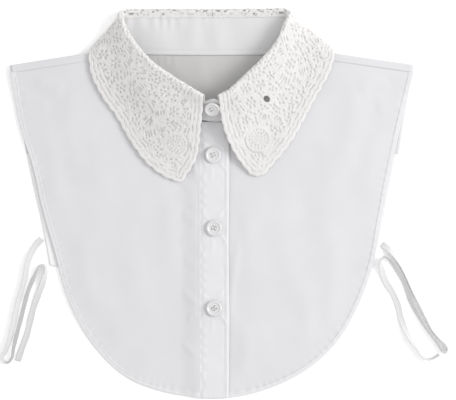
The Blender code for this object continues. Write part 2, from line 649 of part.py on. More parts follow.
def tape_frame(route, count):
    """Middle line of a tape on the table, its direction and the direction of its width."""
    route = np.asarray(route, float)
    knots = lengths_along(route[:, :2])
    fine = spline(knots, route, np.linspace(0.0, knots[-1], 40 * len(route)))
    knots = lengths_along(fine[:, :2])
    fine = read(fine, knots, np.linspace(0.0, knots[-1], count))
    tilt = np.radians(fine[:, 2])[:, None]
    height = TAPE_WIDTH / 2 * np.abs(np.sin(tilt)) + TAPE_WALL / 2
    line = np.hstack([fine[:, :2], height])
    tangent = unit(np.gradient(line, axis=0))
    level = unit(np.stack([tangent[:, 1], -tangent[:, 0], 0.0 * tangent[:, 0]], -1))
    return line, tangent, np.cos(tilt) * level + np.sin(tilt) * np.array([0.0, 0.0, 1.0])


def build_tie(name, route, sewn_to, finish, collection):
    """A flat tape along its route, from the back's edge that it is sewn to."""
    line, tangent, across = tape_frame(route, TAPE_POINTS)
    grid = np.stack([line + TAPE_WIDTH / 2 * across, line - TAPE_WIDTH / 2 * across])
    side = smooth_line(sewn_to, BACK_ROWS)
    k = np.argmin(np.linalg.norm(0.5 * (side[1:] + side[:-1]) - line[0, :2], axis=-1))
    run = unit(side[k + 1] - side[k])
    outward = np.array([-run[1], run[0]]) * -np.sign(side[k, 0] * run[1])
    for edge in grid:
        away = (edge[0, :2] - side[k]) @ outward - GAP
        edge[0, :2] -= tangent[0, :2] * away / (tangent[0, :2] @ outward)
    return sheet(name, grid, finish, collection, TAPE_WALL, 0.0)


def stand_button_seat():
    """Place and direction of the button on the stand's lapped end."""
    neck, top = stand_lines(LEFT_STATIONS, LEFT_STAND_END)
    neck, top = neck[-4:], top[-4:]
    share = (STAND_BUTTON_X - neck[0, 0]) / (neck[1, 0] - neck[0, 0])
    foot = neck[0] + share * (neck[1] - neck[0])
    head = top[0] + share * (top[1] - top[0])
    normal = unit(np.cross(neck[1] - neck[0], head - foot))
    normal = normal * np.sign(normal[2])
    seat = foot + STAND_BUTTON_SHARE * (head - foot)
    return seat + (STAND_WALL / 2 + STAND_BUTTON_SHANK) * normal, normal


def main():
    for made in list(bpy.data.objects):
        bpy.data.objects.remove(made, do_unlink=True)
    parts = bpy.data.collections.new(NAME)
    cutters = bpy.data.collections.new("cutters")
    bpy.context.scene.collection.children.link(parts)
    bpy.context.scene.collection.children.link(cutters)

    cotton = material("cotton_poplin", (0.86, 0.86, 0.88), 0.75)
    stand_cotton = material("stand_cotton", (0.84, 0.84, 0.85), 0.75)
    lace = material("cotton_lace", (0.88, 0.87, 0.86), 0.8)
    tape = material("tie_tape", (0.85, 0.85, 0.86), 0.7)
    pearl = material("pearl_button", (0.86, 0.85, 0.85), 0.25)

    build_back(cotton, parts)
    build_front("front_left", LEFT_STATIONS, LEFT_EDGE, SHOULDER_LEFT, BAND_LEFT - GAP,
                left_front_height, cotton, parts)
    build_front("front_right", RIGHT_STATIONS, RIGHT_EDGE, SHOULDER_RIGHT, UNDERLAP,
                front_height, cotton, parts)
    build_placket(cotton, parts)
    build_stand(stand_cotton, parts)
    build_leaf("lace_leaf_left", LEFT_STATIONS, lace, parts)
    right_leaf = build_leaf("lace_leaf_right", RIGHT_STATIONS, lace, parts)
    cut_eye(right_leaf, RIGHT_STATIONS, EYE_ALONG, EYE_SHARE, cutters)
    seat, normal = stand_button_seat()
    build_button("button_1", seat, normal, pearl, parts, cutters)
    for k, (x, y) in enumerate(BUTTON_PLACES):
        top = float(band_height(x, y)) + BAND_WALL + GAP
        build_button(f"button_{k + 2}", (x, y, top), (0.0, 0.0, 1.0), pearl, parts, cutters)
    build_tie("tie_left", TIE_LEFT, BACK_LEFT_EDGE, tape, parts)
    build_tie("tie_right", TIE_RIGHT, BACK_RIGHT_EDGE, tape, parts)


main()
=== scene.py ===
"""Looks of the detachable lace collar: thin cloth with creases, openwork lace, buttons, tapes.

Lengths are in millimetres until points become meshes. The tables of the collar's
form are those of its solids, so that each thin piece lies within its solid.
"""

import math

import bpy
import numpy as np
from mathutils import Matrix, Vector
from mathutils.kdtree import KDTree


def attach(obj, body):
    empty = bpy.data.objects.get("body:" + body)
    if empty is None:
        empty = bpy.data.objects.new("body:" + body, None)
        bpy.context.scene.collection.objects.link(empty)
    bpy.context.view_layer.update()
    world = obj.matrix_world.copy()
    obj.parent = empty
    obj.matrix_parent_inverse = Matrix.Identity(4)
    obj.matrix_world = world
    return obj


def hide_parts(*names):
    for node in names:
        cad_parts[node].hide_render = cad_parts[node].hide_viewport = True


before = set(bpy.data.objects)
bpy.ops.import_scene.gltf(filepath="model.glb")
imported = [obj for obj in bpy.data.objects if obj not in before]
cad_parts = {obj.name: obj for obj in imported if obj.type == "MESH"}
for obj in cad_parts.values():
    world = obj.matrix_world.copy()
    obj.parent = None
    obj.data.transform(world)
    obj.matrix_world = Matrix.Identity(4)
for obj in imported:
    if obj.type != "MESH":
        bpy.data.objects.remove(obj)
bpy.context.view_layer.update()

MM = 0.001
CLOTH, STAND_WALL, BAND_WALL, LACE_WALL, TAPE_WALL = 1.0, 1.2, 1.6, 1.4, 0.8
GAP, LAYER_STEP = 0.3, 1.5
ROLL_RADIUS, SEAM_BELOW_ROLL = 2.1, 6.1
SHOULDER_RADIUS, SHOULDER_LAP, SHOULDER_BULK_REACH = 1.25, 5.0, 30.0
RISE_START, RISE_END = 16.0, 66.0
DROP_START, DROP_END = 24.0, 66.0
BAND_LEFT, BAND_RIGHT, UNDERLAP, BAND_EASE = -9.6, 13.6, -9.2, 16.0
BAND_TOP, BAND_BOTTOM = 65.4, -155.6
BUTTON_PLACES = ((0.8, 38.8), (1.6, -19.6), (1.6, -83.6))
STAND_BUTTON_X, STAND_BUTTON_SHARE, STAND_BUTTON_SHANK = 1.3, 0.6, 0.9
SCALLOP_PITCH, SCALLOP_DEPTH = 9.0, 1.0
EYE_LENGTH, EYE_WIDTH = 5.8, 4.8
EYE_ALONG, EYE_SHARE = 0.7925, 0.38
TAPE_WIDTH = 5.0
FRAME_SAMPLES, FRAME_WINDOW = 401, 25
SEED = 7

STATION_COLUMNS = (
    "neck_x", "neck_y", "neck_z", "roll_x", "roll_y", "roll_z", "edge_x", "edge_y",
    "third", "two_thirds", "bow_third", "bow_two_thirds", "lift",
)
LEFT_STATIONS = (
    (0.0, 119.6, 2.5, 0.0, 155.4, 2.8, 0.0, 108.0, 0.7, 0.7, 0.0, 0.0, 0.0),
    (-30.0, 119.7, 2.5, -31.0, 155.4, 2.8, -36.0, 108.4, 0.7, 0.7, 0.0, 0.0, 0.0),
    (-54.0, 120.2, 2.5, -53.0, 155.3, 2.9, -67.0, 110.8, 0.7, 0.7, 0.0, 0.0, 0.0),
    (-70.0, 121.4, 2.7, -64.6, 155.0, 3.9, -87.0, 117.0, 0.7, 0.7, 0.0, 0.0, 0.0),
    (-77.0, 122.4, 3.2, -69.6, 154.2, 5.8, -94.6, 121.8, 2.0, 0.9, 0.0, 0.0, 0.0),
    (-80.6, 122.6, 4.8, -71.8, 152.0, 8.6, -97.6, 123.4, 5.6, 4.4, 0.0, 0.0, 0.4),
    (-80.4, 118.6, 6.2, -71.2, 148.6, 11.4, -98.2, 117.6, 8.8, 7.2, 0.0, 0.0, 0.8),
    (-77.4, 112.4, 6.6, -69.2, 143.0, 13.6, -97.0, 106.0, 10.8, 8.4, 0.0, 0.0, 0.8),
    (-67.4, 101.2, 6.0, -62.0, 130.0, 15.4, -88.4, 86.6, 12.6, 7.8, 0.0, 0.0, 0.8),
    (-52.0, 89.0, 5.2, -49.0, 114.6, 17.2, -76.4, 69.6, 13.6, 7.6, 0.0, 0.0, 0.6),
    (-35.0, 79.4, 5.0, -33.0, 102.6, 18.6, -63.4, 47.2, 14.6, 7.6, 0.0, 0.0, 1.0),
    (-20.0, 72.6, 5.4, -18.4, 93.6, 19.8, -49.0, 29.4, 14.6, 7.2, 0.0, 0.0, 0.7),
    (-12.6, 69.4, 6.0, -12.0, 89.6, 20.4, -36.0, 20.6, 14.8, 7.4, 1.0, 1.6, 0.5),
    (-3.0, 66.8, 6.6, -6.6, 86.0, 21.0, -24.3, 16.8, 15.2, 8.0, 3.8, 6.4, 0.3),
)
RIGHT_STATIONS = (
    (0.0, 119.6, 2.5, 0.0, 155.4, 2.8, 0.0, 108.0, 0.7, 0.7, 0.0, 0.0, 0.0),
    (24.0, 119.7, 2.5, 24.0, 155.6, 2.8, 32.0, 108.4, 0.7, 0.7, 0.0, 0.0, 0.0),
    (46.0, 120.2, 2.5, 42.0, 155.7, 2.9, 62.0, 110.8, 0.7, 0.7, 0.0, 0.0, 0.0),
    (62.0, 121.4, 2.7, 53.6, 155.7, 3.9, 85.0, 117.0, 0.7, 0.7, 0.0, 0.0, 0.0),
    (69.6, 122.4, 3.2, 58.6, 155.0, 5.8, 94.6, 121.8, 2.0, 0.9, 0.0, 0.0, 0.0),
    (73.6, 122.6, 4.8, 60.6, 152.8, 8.6, 97.6, 123.4, 5.6, 4.4, 0.0, 0.0, 0.4),
    (73.2, 118.6, 6.2, 59.8, 149.2, 11.4, 97.4, 117.0, 8.8, 7.2, 0.0, 0.0, 0.8),
    (70.0, 112.4, 6.6, 57.4, 143.4, 13.6, 93.8, 105.0, 10.8, 8.4, 0.0, 0.0, 0.7),
    (59.6, 101.2, 6.0, 51.0, 128.8, 15.4, 84.4, 87.6, 12.6, 7.8, 0.0, 0.0, 0.4),
    (45.4, 89.0, 5.2, 40.0, 115.6, 17.2, 74.8, 69.8, 13.6, 7.6, 0.0, 0.0, 0.6),
    (30.6, 79.4, 5.0, 27.0, 103.0, 18.6, 64.0, 50.6, 14.6, 7.6, 0.0, 0.0, 0.4),
    (18.0, 73.0, 4.2, 15.6, 92.6, 19.4, 51.4, 34.6, 14.6, 7.2, 0.0, 0.0, 0.5),
    (11.0, 70.6, 3.6, 10.0, 88.8, 19.4, 38.6, 22.0, 14.8, 7.4, 2.6, 2.4, 0.4),
    (4.0, 69.2, 3.2, 5.0, 85.8, 19.6, 30.6, 23.0, 15.2, 8.4, 5.4, 5.0, 0.3),
)
RISE_STATIONS = (4, 6)
FOLD_STATION, FOLD_REACH, FOLD_SLACK = 5, 0.09, 1.0
LEFT_STAND_END = (
    (3.0, 66.4, 6.8, 1.6, 83.2, 18.4),
    (8.6, 66.8, 6.8, 8.0, 81.0, 17.2),
    (12.2, 68.0, 7.4, 11.6, 76.6, 14.2),
)
RIGHT_STAND_END = (
    (-2.0, 69.2, 3.0, -1.0, 83.4, 14.0),
    (-6.6, 69.6, 2.9, -6.2, 81.4, 12.4),
    (-9.6, 70.6, 3.4, -9.2, 78.0, 9.8),
)
LEFT_EDGE = (
    (-161.2, 105.0), (-152.4, 58.0), (-143.0, 28.4), (-136.4, -1.2), (-126.9, -34.8),
    (-114.2, -78.6), (-94.0, -114.8), (-68.4, -139.1), (-34.0, -151.8), (-9.9, -155.4),
)
RIGHT_EDGE = (
    (161.2, 105.0), (149.2, 54.8), (141.2, 16.8), (135.4, -14.8), (127.4, -54.2),
    (115.2, -85.6), (98.9, -112.4), (77.9, -131.6), (50.0, -146.4), (16.3, -155.2),
    (UNDERLAP, -156.0),
)
SHOULDER_LEFT = ((-161.4, 110.4), (-81.4, 122.6))
SHOULDER_RIGHT = ((161.4, 110.8), (74.4, 123.2))
BACK_LEFT_EDGE = ((-161.2, 109.2), (-153.2, 65.2), (-143.5, 16.8), (-135.0, -21.2), (-129.8, -49.6))
BACK_RIGHT_EDGE = ((161.2, 109.6), (153.3, 65.2), (145.4, 14.0), (137.9, -14.0), (133.4, -34.4))
BACK_HEM = ((-129.8, -49.6), (0.0, -60.0), (133.4, -34.4))
TIE_LEFT = (
    (-136.0, -28.2, 0), (-139.9, -32.6, 8), (-145.1, -41.8, 35), (-147.8, -50.0, 40),
    (-149.4, -59.6, 40), (-152.0, -69.2, 40), (-154.9, -78.8, 40), (-157.4, -90.0, 40),
    (-159.4, -100.0, 42), (-162.0, -110.0, 46), (-165.4, -118.4, 52), (-167.6, -122.8, 60),
    (-166.6, -126.4, 66), (-163.2, -127.2, 66), (-160.4, -124.4, 62), (-158.6, -116.0, 50),
    (-156.0, -105.0, 42), (-152.9, -93.2, 40), (-149.9, -80.8, 40), (-146.6, -69.2, 40),
    (-142.6, -59.6, 46), (-139.8, -53.4, 62), (-137.2, -49.4, 76), (-134.0, -49.2, 78),
    (-132.6, -52.6, 70), (-133.8, -58.6, 40), (-136.2, -66.4, 15), (-139.4, -74.4, 5),
    (-142.6, -83.6, 0), (-145.0, -93.2, 0), (-147.8, -104.8, 0), (-151.0, -113.6, 0),
    (-153.6, -121.0, 0), (-155.2, -126.0, 0),
)
TIE_RIGHT = (
    (136.2, -32.4, 0), (139.4, -35.0, 12), (143.1, -38.7, 45), (149.4, -46.2, 55),
    (155.5, -57.0, 56), (160.5, -68.5, 58), (165.4, -78.2, 60), (171.5, -90.7, 64),
    (176.9, -101.4, 68), (183.1, -108.5, 70), (187.6, -113.0, 70), (189.0, -116.4, 70),
    (187.4, -119.2, 70), (184.4, -117.8, 70), (180.6, -112.0, 70), (174.9, -104.6, 68),
    (169.2, -96.4, 62), (163.3, -86.4, 50), (158.9, -77.6, 40), (156.4, -69.4, 35),
    (152.6, -60.0, 35), (148.0, -52.8, 40), (143.6, -46.6, 55), (140.4, -43.4, 70),
    (137.6, -42.6, 75), (135.6, -44.2, 72), (135.0, -47.4, 60), (135.6, -52.0, 30),
    (138.6, -61.4, 10), (144.9, -72.1, 0), (148.9, -81.8, 0), (151.5, -92.5, 5),
    (154.6, -100.5, 25), (159.1, -109.4, 55), (164.5, -116.5, 66), (168.9, -122.7, 70),
    (173.4, -124.5, 70), (178.6, -122.7, 70), (181.6, -120.6, 68),
)

# Soft creases of the panels in plan: x, y of both ends, half width, height.
LEFT_CREASES = (
    (-118, 92, -104, 20, 9, 0.7), (-96, 70, -88, -30, 11, 0.6), (-132, 60, -122, 0, 8, 0.6),
    (-60, 10, -66, -90, 12, 0.7), (-104, -20, -92, -96, 9, 0.6), (-36, 12, -30, -60, 8, 0.5),
    (-30, 24, -13, 8, 2.2, 0.7), (-27, 8, -12, -2, 2.0, 0.6), (-24, -10, -11, -14, 2.4, 0.6),
    (-26, -30, -12, -24, 2.6, 0.5), (-22, -44, -11, -52, 2.2, 0.5), (-24, -70, -11, -80, 2.2, 0.6),
    (-20, -92, -11, -88, 2.2, 0.6), (-24, -112, -11, -122, 2.6, 0.5), (-19, 40, -11, 22, 2.0, 0.6),
    (-140, 100, -120, 88, 7, 0.6), (-152, 84, -130, 76, 6, 0.5), (-84, -60, -74, -118, 8, 0.5),
)
RIGHT_CREASES = (
    (118, 96, 102, 20, 9, 0.6), (96, 60, 90, -40, 11, 0.6), (134, 64, 124, 4, 8, 0.5),
    (60, 12, 64, -90, 12, 0.6), (104, -24, 90, -96, 9, 0.6), (34, 12, 28, -70, 9, 0.5),
    (44, 2, 24, -20, 6, 0.4), (30, -96, 22, -140, 6, 0.5), (140, 100, 118, 90, 7, 0.5),
    (152, 84, 132, 74, 6, 0.5), (80, -60, 70, -118, 8, 0.5), (20, -30, 15, -90, 3, 0.4),
)
BACK_CREASES = (
    (-52, 118.5, -50, 104, 1.8, 0.5), (-47, 118.5, -46, 108, 1.5, 0.5),
    (-42, 118.5, -40, 106, 1.7, 0.45), (-36, 118.5, -36, 110, 1.5, 0.4),
    (-30, 118.5, -29, 108, 1.6, 0.3), (20, 118, 24, 100, 3.0, 0.3), (-8, 118, -10, 90, 5, 0.4),
    (40, 118.5, 42, 108, 2.0, 0.3), (0, 100, 2, 60, 9, 0.4),
)


def spline(knots, values, at):
    """A smooth curve through values at knots, read at the given places."""
    knots, values = np.asarray(knots, float), np.asarray(values, float)
    at = np.asarray(at, float)
    slopes = np.gradient(values, knots, axis=0)
    i = np.clip(np.searchsorted(knots, at, side="right") - 1, 0, len(knots) - 2)
    span = knots[i + 1] - knots[i]
    u = (at - knots[i]) / span
    if values.ndim > 1:
        u, span = u[..., None], span[..., None]
    return (
        values[i] * (2 * u**3 - 3 * u**2 + 1) + values[i + 1] * (3 * u**2 - 2 * u**3)
        + slopes[i] * span * (u**3 - 2 * u**2 + u) + slopes[i + 1] * span * (u**3 - u**2)
    )


def lengths_along(points):
    steps = np.linalg.norm(np.diff(np.asarray(points, float), axis=0), axis=-1)
    return np.concatenate([[0.0], np.cumsum(steps)])


def read(values, knots, places):
    """Values given at knots, read between them."""
    return np.stack([np.interp(places, knots, values[:, k]) for k in range(values.shape[1])], -1)


def evenly(points, count):
    knots = lengths_along(points)
    return read(np.asarray(points, float), knots, np.linspace(0.0, knots[-1], count))


def smooth_line(points, count):
    """Evenly spaced points on a smooth curve through the given ones."""
    points = np.asarray(points, float)
    knots = lengths_along(points)
    return evenly(spline(knots, points, np.linspace(0.0, knots[-1], 40 * len(points))), count)


def unit(vectors):
    vectors = np.asarray(vectors, float)
    return vectors / np.linalg.norm(vectors, axis=-1, keepdims=True)


def ease(value):
    """0 below 0, 1 above 1, smooth between."""
    value = np.clip(value, 0.0, 1.0)
    return value * value * (3.0 - 2.0 * value)


def bump(value, width):
    return np.exp(-((value / width) ** 2))


def nearest_on_line(x, y, line):
    """Distance in plan from points to a polyline, and how far along it the nearest place is."""
    line = np.asarray(line, float)
    x, y = np.asarray(x, float), np.asarray(y, float)
    best, travelled = np.full(x.shape, 1e9), np.zeros(x.shape)
    knots = lengths_along(line[:, :2])
    for k in range(len(line) - 1):
        sx, sy = line[k + 1, 0] - line[k, 0], line[k + 1, 1] - line[k, 1]
        share = np.clip(((x - line[k, 0]) * sx + (y - line[k, 1]) * sy) / (sx * sx + sy * sy), 0, 1)
        away = np.hypot(x - line[k, 0] - share * sx, y - line[k, 1] - share * sy)
        nearer = away < best
        best = np.where(nearer, away, best)
        travelled = np.where(nearer, knots[k] + share * (knots[k + 1] - knots[k]), travelled)
    return best, travelled


HEM_CURVE = np.polyfit(*np.asarray(BACK_HEM, float).T, 2)
BACK_LEAF_EDGE = np.asarray(
    [(row[6], row[7]) for row in LEFT_STATIONS[4::-1]] + [(row[6], row[7]) for row in RIGHT_STATIONS[1:5]]
)


def back_height(x, y):
    """Underside of the back: on the table, and lifted where the lace is under it."""
    x, y = np.asarray(x, float), np.asarray(y, float)
    edge_y = np.interp(x, BACK_LEAF_EDGE[:, 0], BACK_LEAF_EDGE[:, 1])
    away = nearest_on_line(x, y, BACK_LEAF_EDGE)[0]
    away = np.where((y > edge_y) & (np.abs(x) < BACK_LEAF_EDGE[-1, 0]), 0.0, away)
    return (LACE_WALL + GAP) * (1.0 - ease((away - RISE_START) / (RISE_END - RISE_START)))


def front_height(x, y):
    """Underside of a front: over the back, and on the table below the back's hem."""
    x, y = np.asarray(x, float), np.asarray(y, float)
    on_back = 1.0 - ease((np.polyval(HEM_CURVE, x) - y - DROP_START) / (DROP_END - DROP_START))
    near = np.minimum(nearest_on_line(x, y, SHOULDER_LEFT)[0], nearest_on_line(x, y, SHOULDER_RIGHT)[0])
    bulk = (2.0 * SHOULDER_RADIUS - LAYER_STEP) * (1.0 - ease((near - SHOULDER_LAP) / SHOULDER_BULK_REACH))
    return back_height(x, y) + LAYER_STEP * on_back + bulk


def left_front_height(x, y):
    rise = (LAYER_STEP + GAP) * (1.0 - ease((BAND_LEFT - np.asarray(x, float)) / BAND_EASE))
    return front_height(x, y) + rise


def band_height(x, y):
    return front_height(x, y) + LAYER_STEP


def station_knots(stations):
    """Shares of the way round, from the mean of the steps at the roll and the edge."""
    table = np.asarray(stations, float)
    total = 0.5 * lengths_along(table[:, 3:5]) + 0.5 * lengths_along(table[:, 6:8])
    return total / total[-1]


def collar_lines(stations, along):
    """The neck seam, roll, two places on the leaf and the edge, at shares of the way round."""
    along = np.asarray(along, float)
    knots = station_knots(stations)
    values = spline(knots, np.asarray(stations, float), along)
    row = {name: values[..., k] for k, name in enumerate(STATION_COLUMNS)}
    neck = np.stack([row["neck_x"], row["neck_y"], row["neck_z"]], -1)
    roll = np.stack([row["roll_x"], row["roll_y"], row["roll_z"]], -1)
    ground = front_height(row["edge_x"], row["edge_y"]) + CLOTH + GAP
    rise_start, rise_end = (knots[k] for k in RISE_STATIONS)
    in_front = ease((along - rise_start) / (rise_end - rise_start))
    edge_z = LACE_WALL / 2 + in_front * (ground + row["lift"])
    edge = np.stack([row["edge_x"], row["edge_y"], edge_z], -1)
    chord = edge - roll
    off = unit(np.stack([-chord[..., 1], chord[..., 0], 0.0 * chord[..., 2]], -1))
    towards_front = -np.sign(stations[-1][6])
    places = []
    for share, height, bow in ((0.36, "third", "bow_third"), (0.7, "two_thirds", "bow_two_thirds")):
        place = roll + share * chord + towards_front * off * row[bow][..., None]
        place[..., 2] = row[height]
        places.append(place)
    return {"neck": neck, "roll": roll, "third": places[0], "two_thirds": places[1], "edge": edge}


def softened(values):
    """Each row averaged with those near it, so that the fold turns gradually."""
    weights = np.hanning(FRAME_WINDOW + 2)[1:-1]
    padded = np.pad(values, ((FRAME_WINDOW // 2, FRAME_WINDOW // 2), (0, 0)), mode="edge")
    return np.stack([
        np.convolve(padded[:, axis], weights / weights.sum(), mode="valid")
        for axis in range(values.shape[1])
    ], -1)


def fold_frame(stations, along):
    """Direction into the fold, and from the stand's side to the leaf's side."""
    fine = np.linspace(0.0, 1.0, FRAME_SAMPLES)
    lines = collar_lines(stations, fine)
    tangent = np.gradient(lines["roll"], axis=0)
    inward = unit(unit(lines["neck"] - lines["roll"]) + unit(lines["third"] - lines["roll"]))
    across = np.sign(stations[-1][6]) * unit(np.cross(tangent, inward))
    inward, across = (unit(read(softened(value), fine, along)) for value in (inward, across))
    return inward, unit(across - (across * inward).sum(-1)[..., None] * inward)


def seam_points(lines, inward, across):
    return lines["roll"] + SEAM_BELOW_ROLL * inward - ROLL_RADIUS * across


def leaf_rows(stations, along, shares, tucked=0):
    """Grid of the leaf's middle surface: up from the seam, round the roll and out to the edge."""
    lines = collar_lines(stations, along)
    inward, across = fold_frame(stations, along)
    seams = seam_points(lines, inward, across)
    turns = np.radians(np.linspace(-90.0, 90.0, 13))
    grid = []
    for k in range(len(seams)):
        into, over = inward[k], across[k]
        centre = lines["roll"][k] + ROLL_RADIUS * into
        arc = centre + ROLL_RADIUS * (np.sin(turns)[:, None] * over - np.cos(turns)[:, None] * into)
        third = lines["third"][k]
        guide = arc[-1] + 0.25 * np.linalg.norm(third - arc[-1]) * into
        outer = np.stack([arc[-1], guide, third, lines["two_thirds"][k], lines["edge"][k]])
        knots = lengths_along(outer)
        outer = spline(knots, outer, np.linspace(0.0, knots[-1], 60))
        knots = lengths_along(outer)
        outer = read(outer, knots, np.asarray(shares) * knots[-1])
        inner = seams[k] + np.linspace(0, 1, tucked + 2)[:-1, None] * (arc[0] - seams[k])
        grid.append(np.vstack([inner, arc, outer]))
    grid = np.asarray(grid)
    grid[..., 2] = np.maximum(grid[..., 2], LACE_WALL / 2)
    return grid


def neck_outline(stations, first, last):
    """The panels' edge along the neck seam between two stations, clear of the stand."""
    knots = station_knots(stations)
    along = np.linspace(knots[first], knots[last], 60)
    lines = collar_lines(stations, along)
    inward, across = fold_frame(stations, along)
    neck = lines["neck"]
    up_stand = unit(seam_points(lines, inward, across) - neck)
    clear = 1.5 * GAP + STAND_WALL / 2 * up_stand[:, 2]
    return neck[:, :2] - unit(up_stand[:, :2]) * clear[:, None]


def stand_lines(stations, ends, count):
    """Neck seam and top of the stand on one side, centre back to its lapped end."""
    knots = station_knots(stations)
    along = np.linspace(0.0, 1.0, count)
    lines = collar_lines(stations, along)
    inward, across = fold_frame(stations, along)
    neck, top = lines["neck"], seam_points(lines, inward, across)
    down_stand = unit(neck - top)
    turn = np.linalg.norm(np.cross(down_stand, inward), axis=-1)
    folded = ease(1.0 - np.abs(along - knots[FOLD_STATION]) / FOLD_REACH)
    top = top + (GAP + STAND_WALL * turn + FOLD_SLACK * folded)[:, None] * down_stand
    ends = np.asarray(ends, float)
    return np.vstack([neck, ends[:, :3]]), np.vstack([top, ends[:, 3:]])


# --- materials -------------------------------------------------------------------------


def cloth_material(name, colour, roughness, grain, weave, depth, sheen):
    """Matt thread or cloth: a slight unevenness of tone, and a bump of weave and grain."""
    made = bpy.data.materials.new(name)
    made.use_nodes = True
    nodes, links = made.node_tree.nodes, made.node_tree.links
    shader = nodes["Principled BSDF"]
    shader.inputs["Roughness"].default_value = roughness
    shader.inputs["Sheen Weight"].default_value = sheen
    shader.inputs["Sheen Roughness"].default_value = 0.5
    shader.inputs["Specular IOR Level"].default_value = 0.25
    place = nodes.new("ShaderNodeTexCoord")
    blotch = nodes.new("ShaderNodeTexNoise")
    blotch.inputs["Scale"].default_value = 26.0
    blotch.inputs["Detail"].default_value = 3.0
    tone = nodes.new("ShaderNodeValToRGB")
    tone.color_ramp.elements[0].position, tone.color_ramp.elements[1].position = 0.3, 0.7
    tone.color_ramp.elements[0].color = (*[0.965 * value for value in colour], 1.0)
    tone.color_ramp.elements[1].color = (*colour, 1.0)
    links.new(place.outputs["Object"], blotch.inputs["Vector"])
    links.new(blotch.outputs["Fac"], tone.inputs["Fac"])
    links.new(tone.outputs["Color"], shader.inputs["Base Color"])
    heights = []
    for direction in ("X", "Y"):
        threads = nodes.new("ShaderNodeTexWave")
        threads.bands_direction = direction
        threads.inputs["Scale"].default_value = weave
        threads.inputs["Distortion"].default_value = 1.5
        threads.inputs["Detail"].default_value = 1.0
        links.new(place.outputs["Object"], threads.inputs["Vector"])
        heights.append(threads.outputs["Fac"])
    fuzz = nodes.new("ShaderNodeTexNoise")
    fuzz.inputs["Scale"].default_value = grain
    fuzz.inputs["Detail"].default_value = 4.0
    links.new(place.outputs["Object"], fuzz.inputs["Vector"])
    weft = nodes.new("ShaderNodeMath")
    weft.operation = "MULTIPLY"
    links.new(heights[0], weft.inputs[0])
    links.new(heights[1], weft.inputs[1])
    both = nodes.new("ShaderNodeMath")
    both.operation = "ADD"
    links.new(weft.outputs[0], both.inputs[0])
    links.new(fuzz.outputs["Fac"], both.inputs[1])
    raised = nodes.new("ShaderNodeBump")
    raised.inputs["Strength"].default_value = 0.5
    raised.inputs["Distance"].default_value = depth
    links.new(both.outputs[0], raised.inputs["Height"])
    links.new(raised.outputs["Normal"], shader.inputs["Normal"])
    return made


def let_light_through(finish, share):
    """Thin openwork passes a share of the light on to what lies under it."""
    nodes, links = finish.node_tree.nodes, finish.node_tree.links
    shader = nodes["Principled BSDF"]
    through = nodes.new("ShaderNodeBsdfTranslucent")
    both = nodes.new("ShaderNodeMixShader")
    both.inputs["Fac"].default_value = share
    links.new(shader.inputs["Base Color"].links[0].from_socket, through.inputs["Color"])
    links.new(shader.outputs["BSDF"], both.inputs[1])
    links.new(through.outputs["BSDF"], both.inputs[2])
    links.new(both.outputs["Shader"], nodes["Material Output"].inputs["Surface"])


def pearl_material():
    """Glossy pearl plastic with a faint cloud in it."""
    made = bpy.data.materials.new("pearl_plastic")
    made.use_nodes = True
    nodes, links = made.node_tree.nodes, made.node_tree.links
    shader = nodes["Principled BSDF"]
    shader.inputs["Roughness"].default_value = 0.22
    shader.inputs["Coat Weight"].default_value = 0.4
    shader.inputs["Coat Roughness"].default_value = 0.08
    place = nodes.new("ShaderNodeTexCoord")
    cloud = nodes.new("ShaderNodeTexNoise")
    cloud.inputs["Scale"].default_value = 240.0
    cloud.inputs["Distortion"].default_value = 1.5
    tone = nodes.new("ShaderNodeValToRGB")
    tone.color_ramp.elements[0].position, tone.color_ramp.elements[1].position = 0.35, 0.65
    tone.color_ramp.elements[0].color = (0.6, 0.6, 0.61, 1.0)
    tone.color_ramp.elements[1].color = (0.68, 0.67, 0.67, 1.0)
    links.new(place.outputs["Object"], cloud.inputs["Vector"])
    links.new(cloud.outputs["Fac"], tone.inputs["Fac"])
    links.new(tone.outputs["Color"], shader.inputs["Base Color"])
    return made


# --- meshes ----------------------------------------------------------------------------


def add_mesh(name, points, faces, finish, smooth=True):
    mesh = bpy.data.meshes.new(name)
    mesh.from_pydata((np.asarray(points) * MM).tolist(), [], faces)
    mesh.update()
    if smooth:
        mesh.shade_smooth()
    made = bpy.data.objects.new(name, mesh)
    made.data.materials.append(finish)
    bpy.context.scene.collection.objects.link(made)
    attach(made, "root")
    return made


def thin_shell(name, upper, lower, finish, keep=None):
    """A closed sheet between two grids of points, upper seen from outside."""
    rows, columns = upper.shape[:2]
    index = np.arange(rows * columns).reshape(rows, columns)
    kept = np.ones((rows - 1, columns - 1), bool) if keep is None else keep
    a, b = index[:-1, :-1][kept], index[:-1, 1:][kept]
    c, d = index[1:, 1:][kept], index[1:, :-1][kept]
    across = upper[1, 0] - upper[0, 0]
    far = rows * columns
    faces = np.concatenate([np.stack([a, b, c, d], 1), far + np.stack([d, c, b, a], 1)])
    padded = np.zeros((rows + 1, columns + 1), bool)
    padded[1:-1, 1:-1] = kept
    walls = []
    for step, first, second in (
        ((0, 1), (0, 0), (0, 1)), ((2, 1), (1, 1), (1, 0)), ((1, 0), (1, 0), (0, 0)), ((1, 2), (0, 1), (1, 1)),
    ):
        beside = padded[step[0]:step[0] + rows - 1, step[1]:step[1] + columns - 1]
        r, s = np.nonzero(kept & ~beside)
        p, q = index[r + first[0], s + first[1]], index[r + second[0], s + second[1]]
        walls.append(np.stack([q, p, far + p, far + q], 1))
    faces = np.concatenate([faces, *walls])
    points = np.concatenate([upper.reshape(-1, 3), lower.reshape(-1, 3)])
    normal = np.cross(upper[0, 1] - upper[0, 0], across)
    if normal @ (upper[0, 0] - lower[0, 0]) < 0:
        faces = faces[:, ::-1]
    used, faces = np.unique(faces, return_inverse=True)
    return add_mesh(name, points[used], faces.reshape(-1, 4).tolist(), finish)


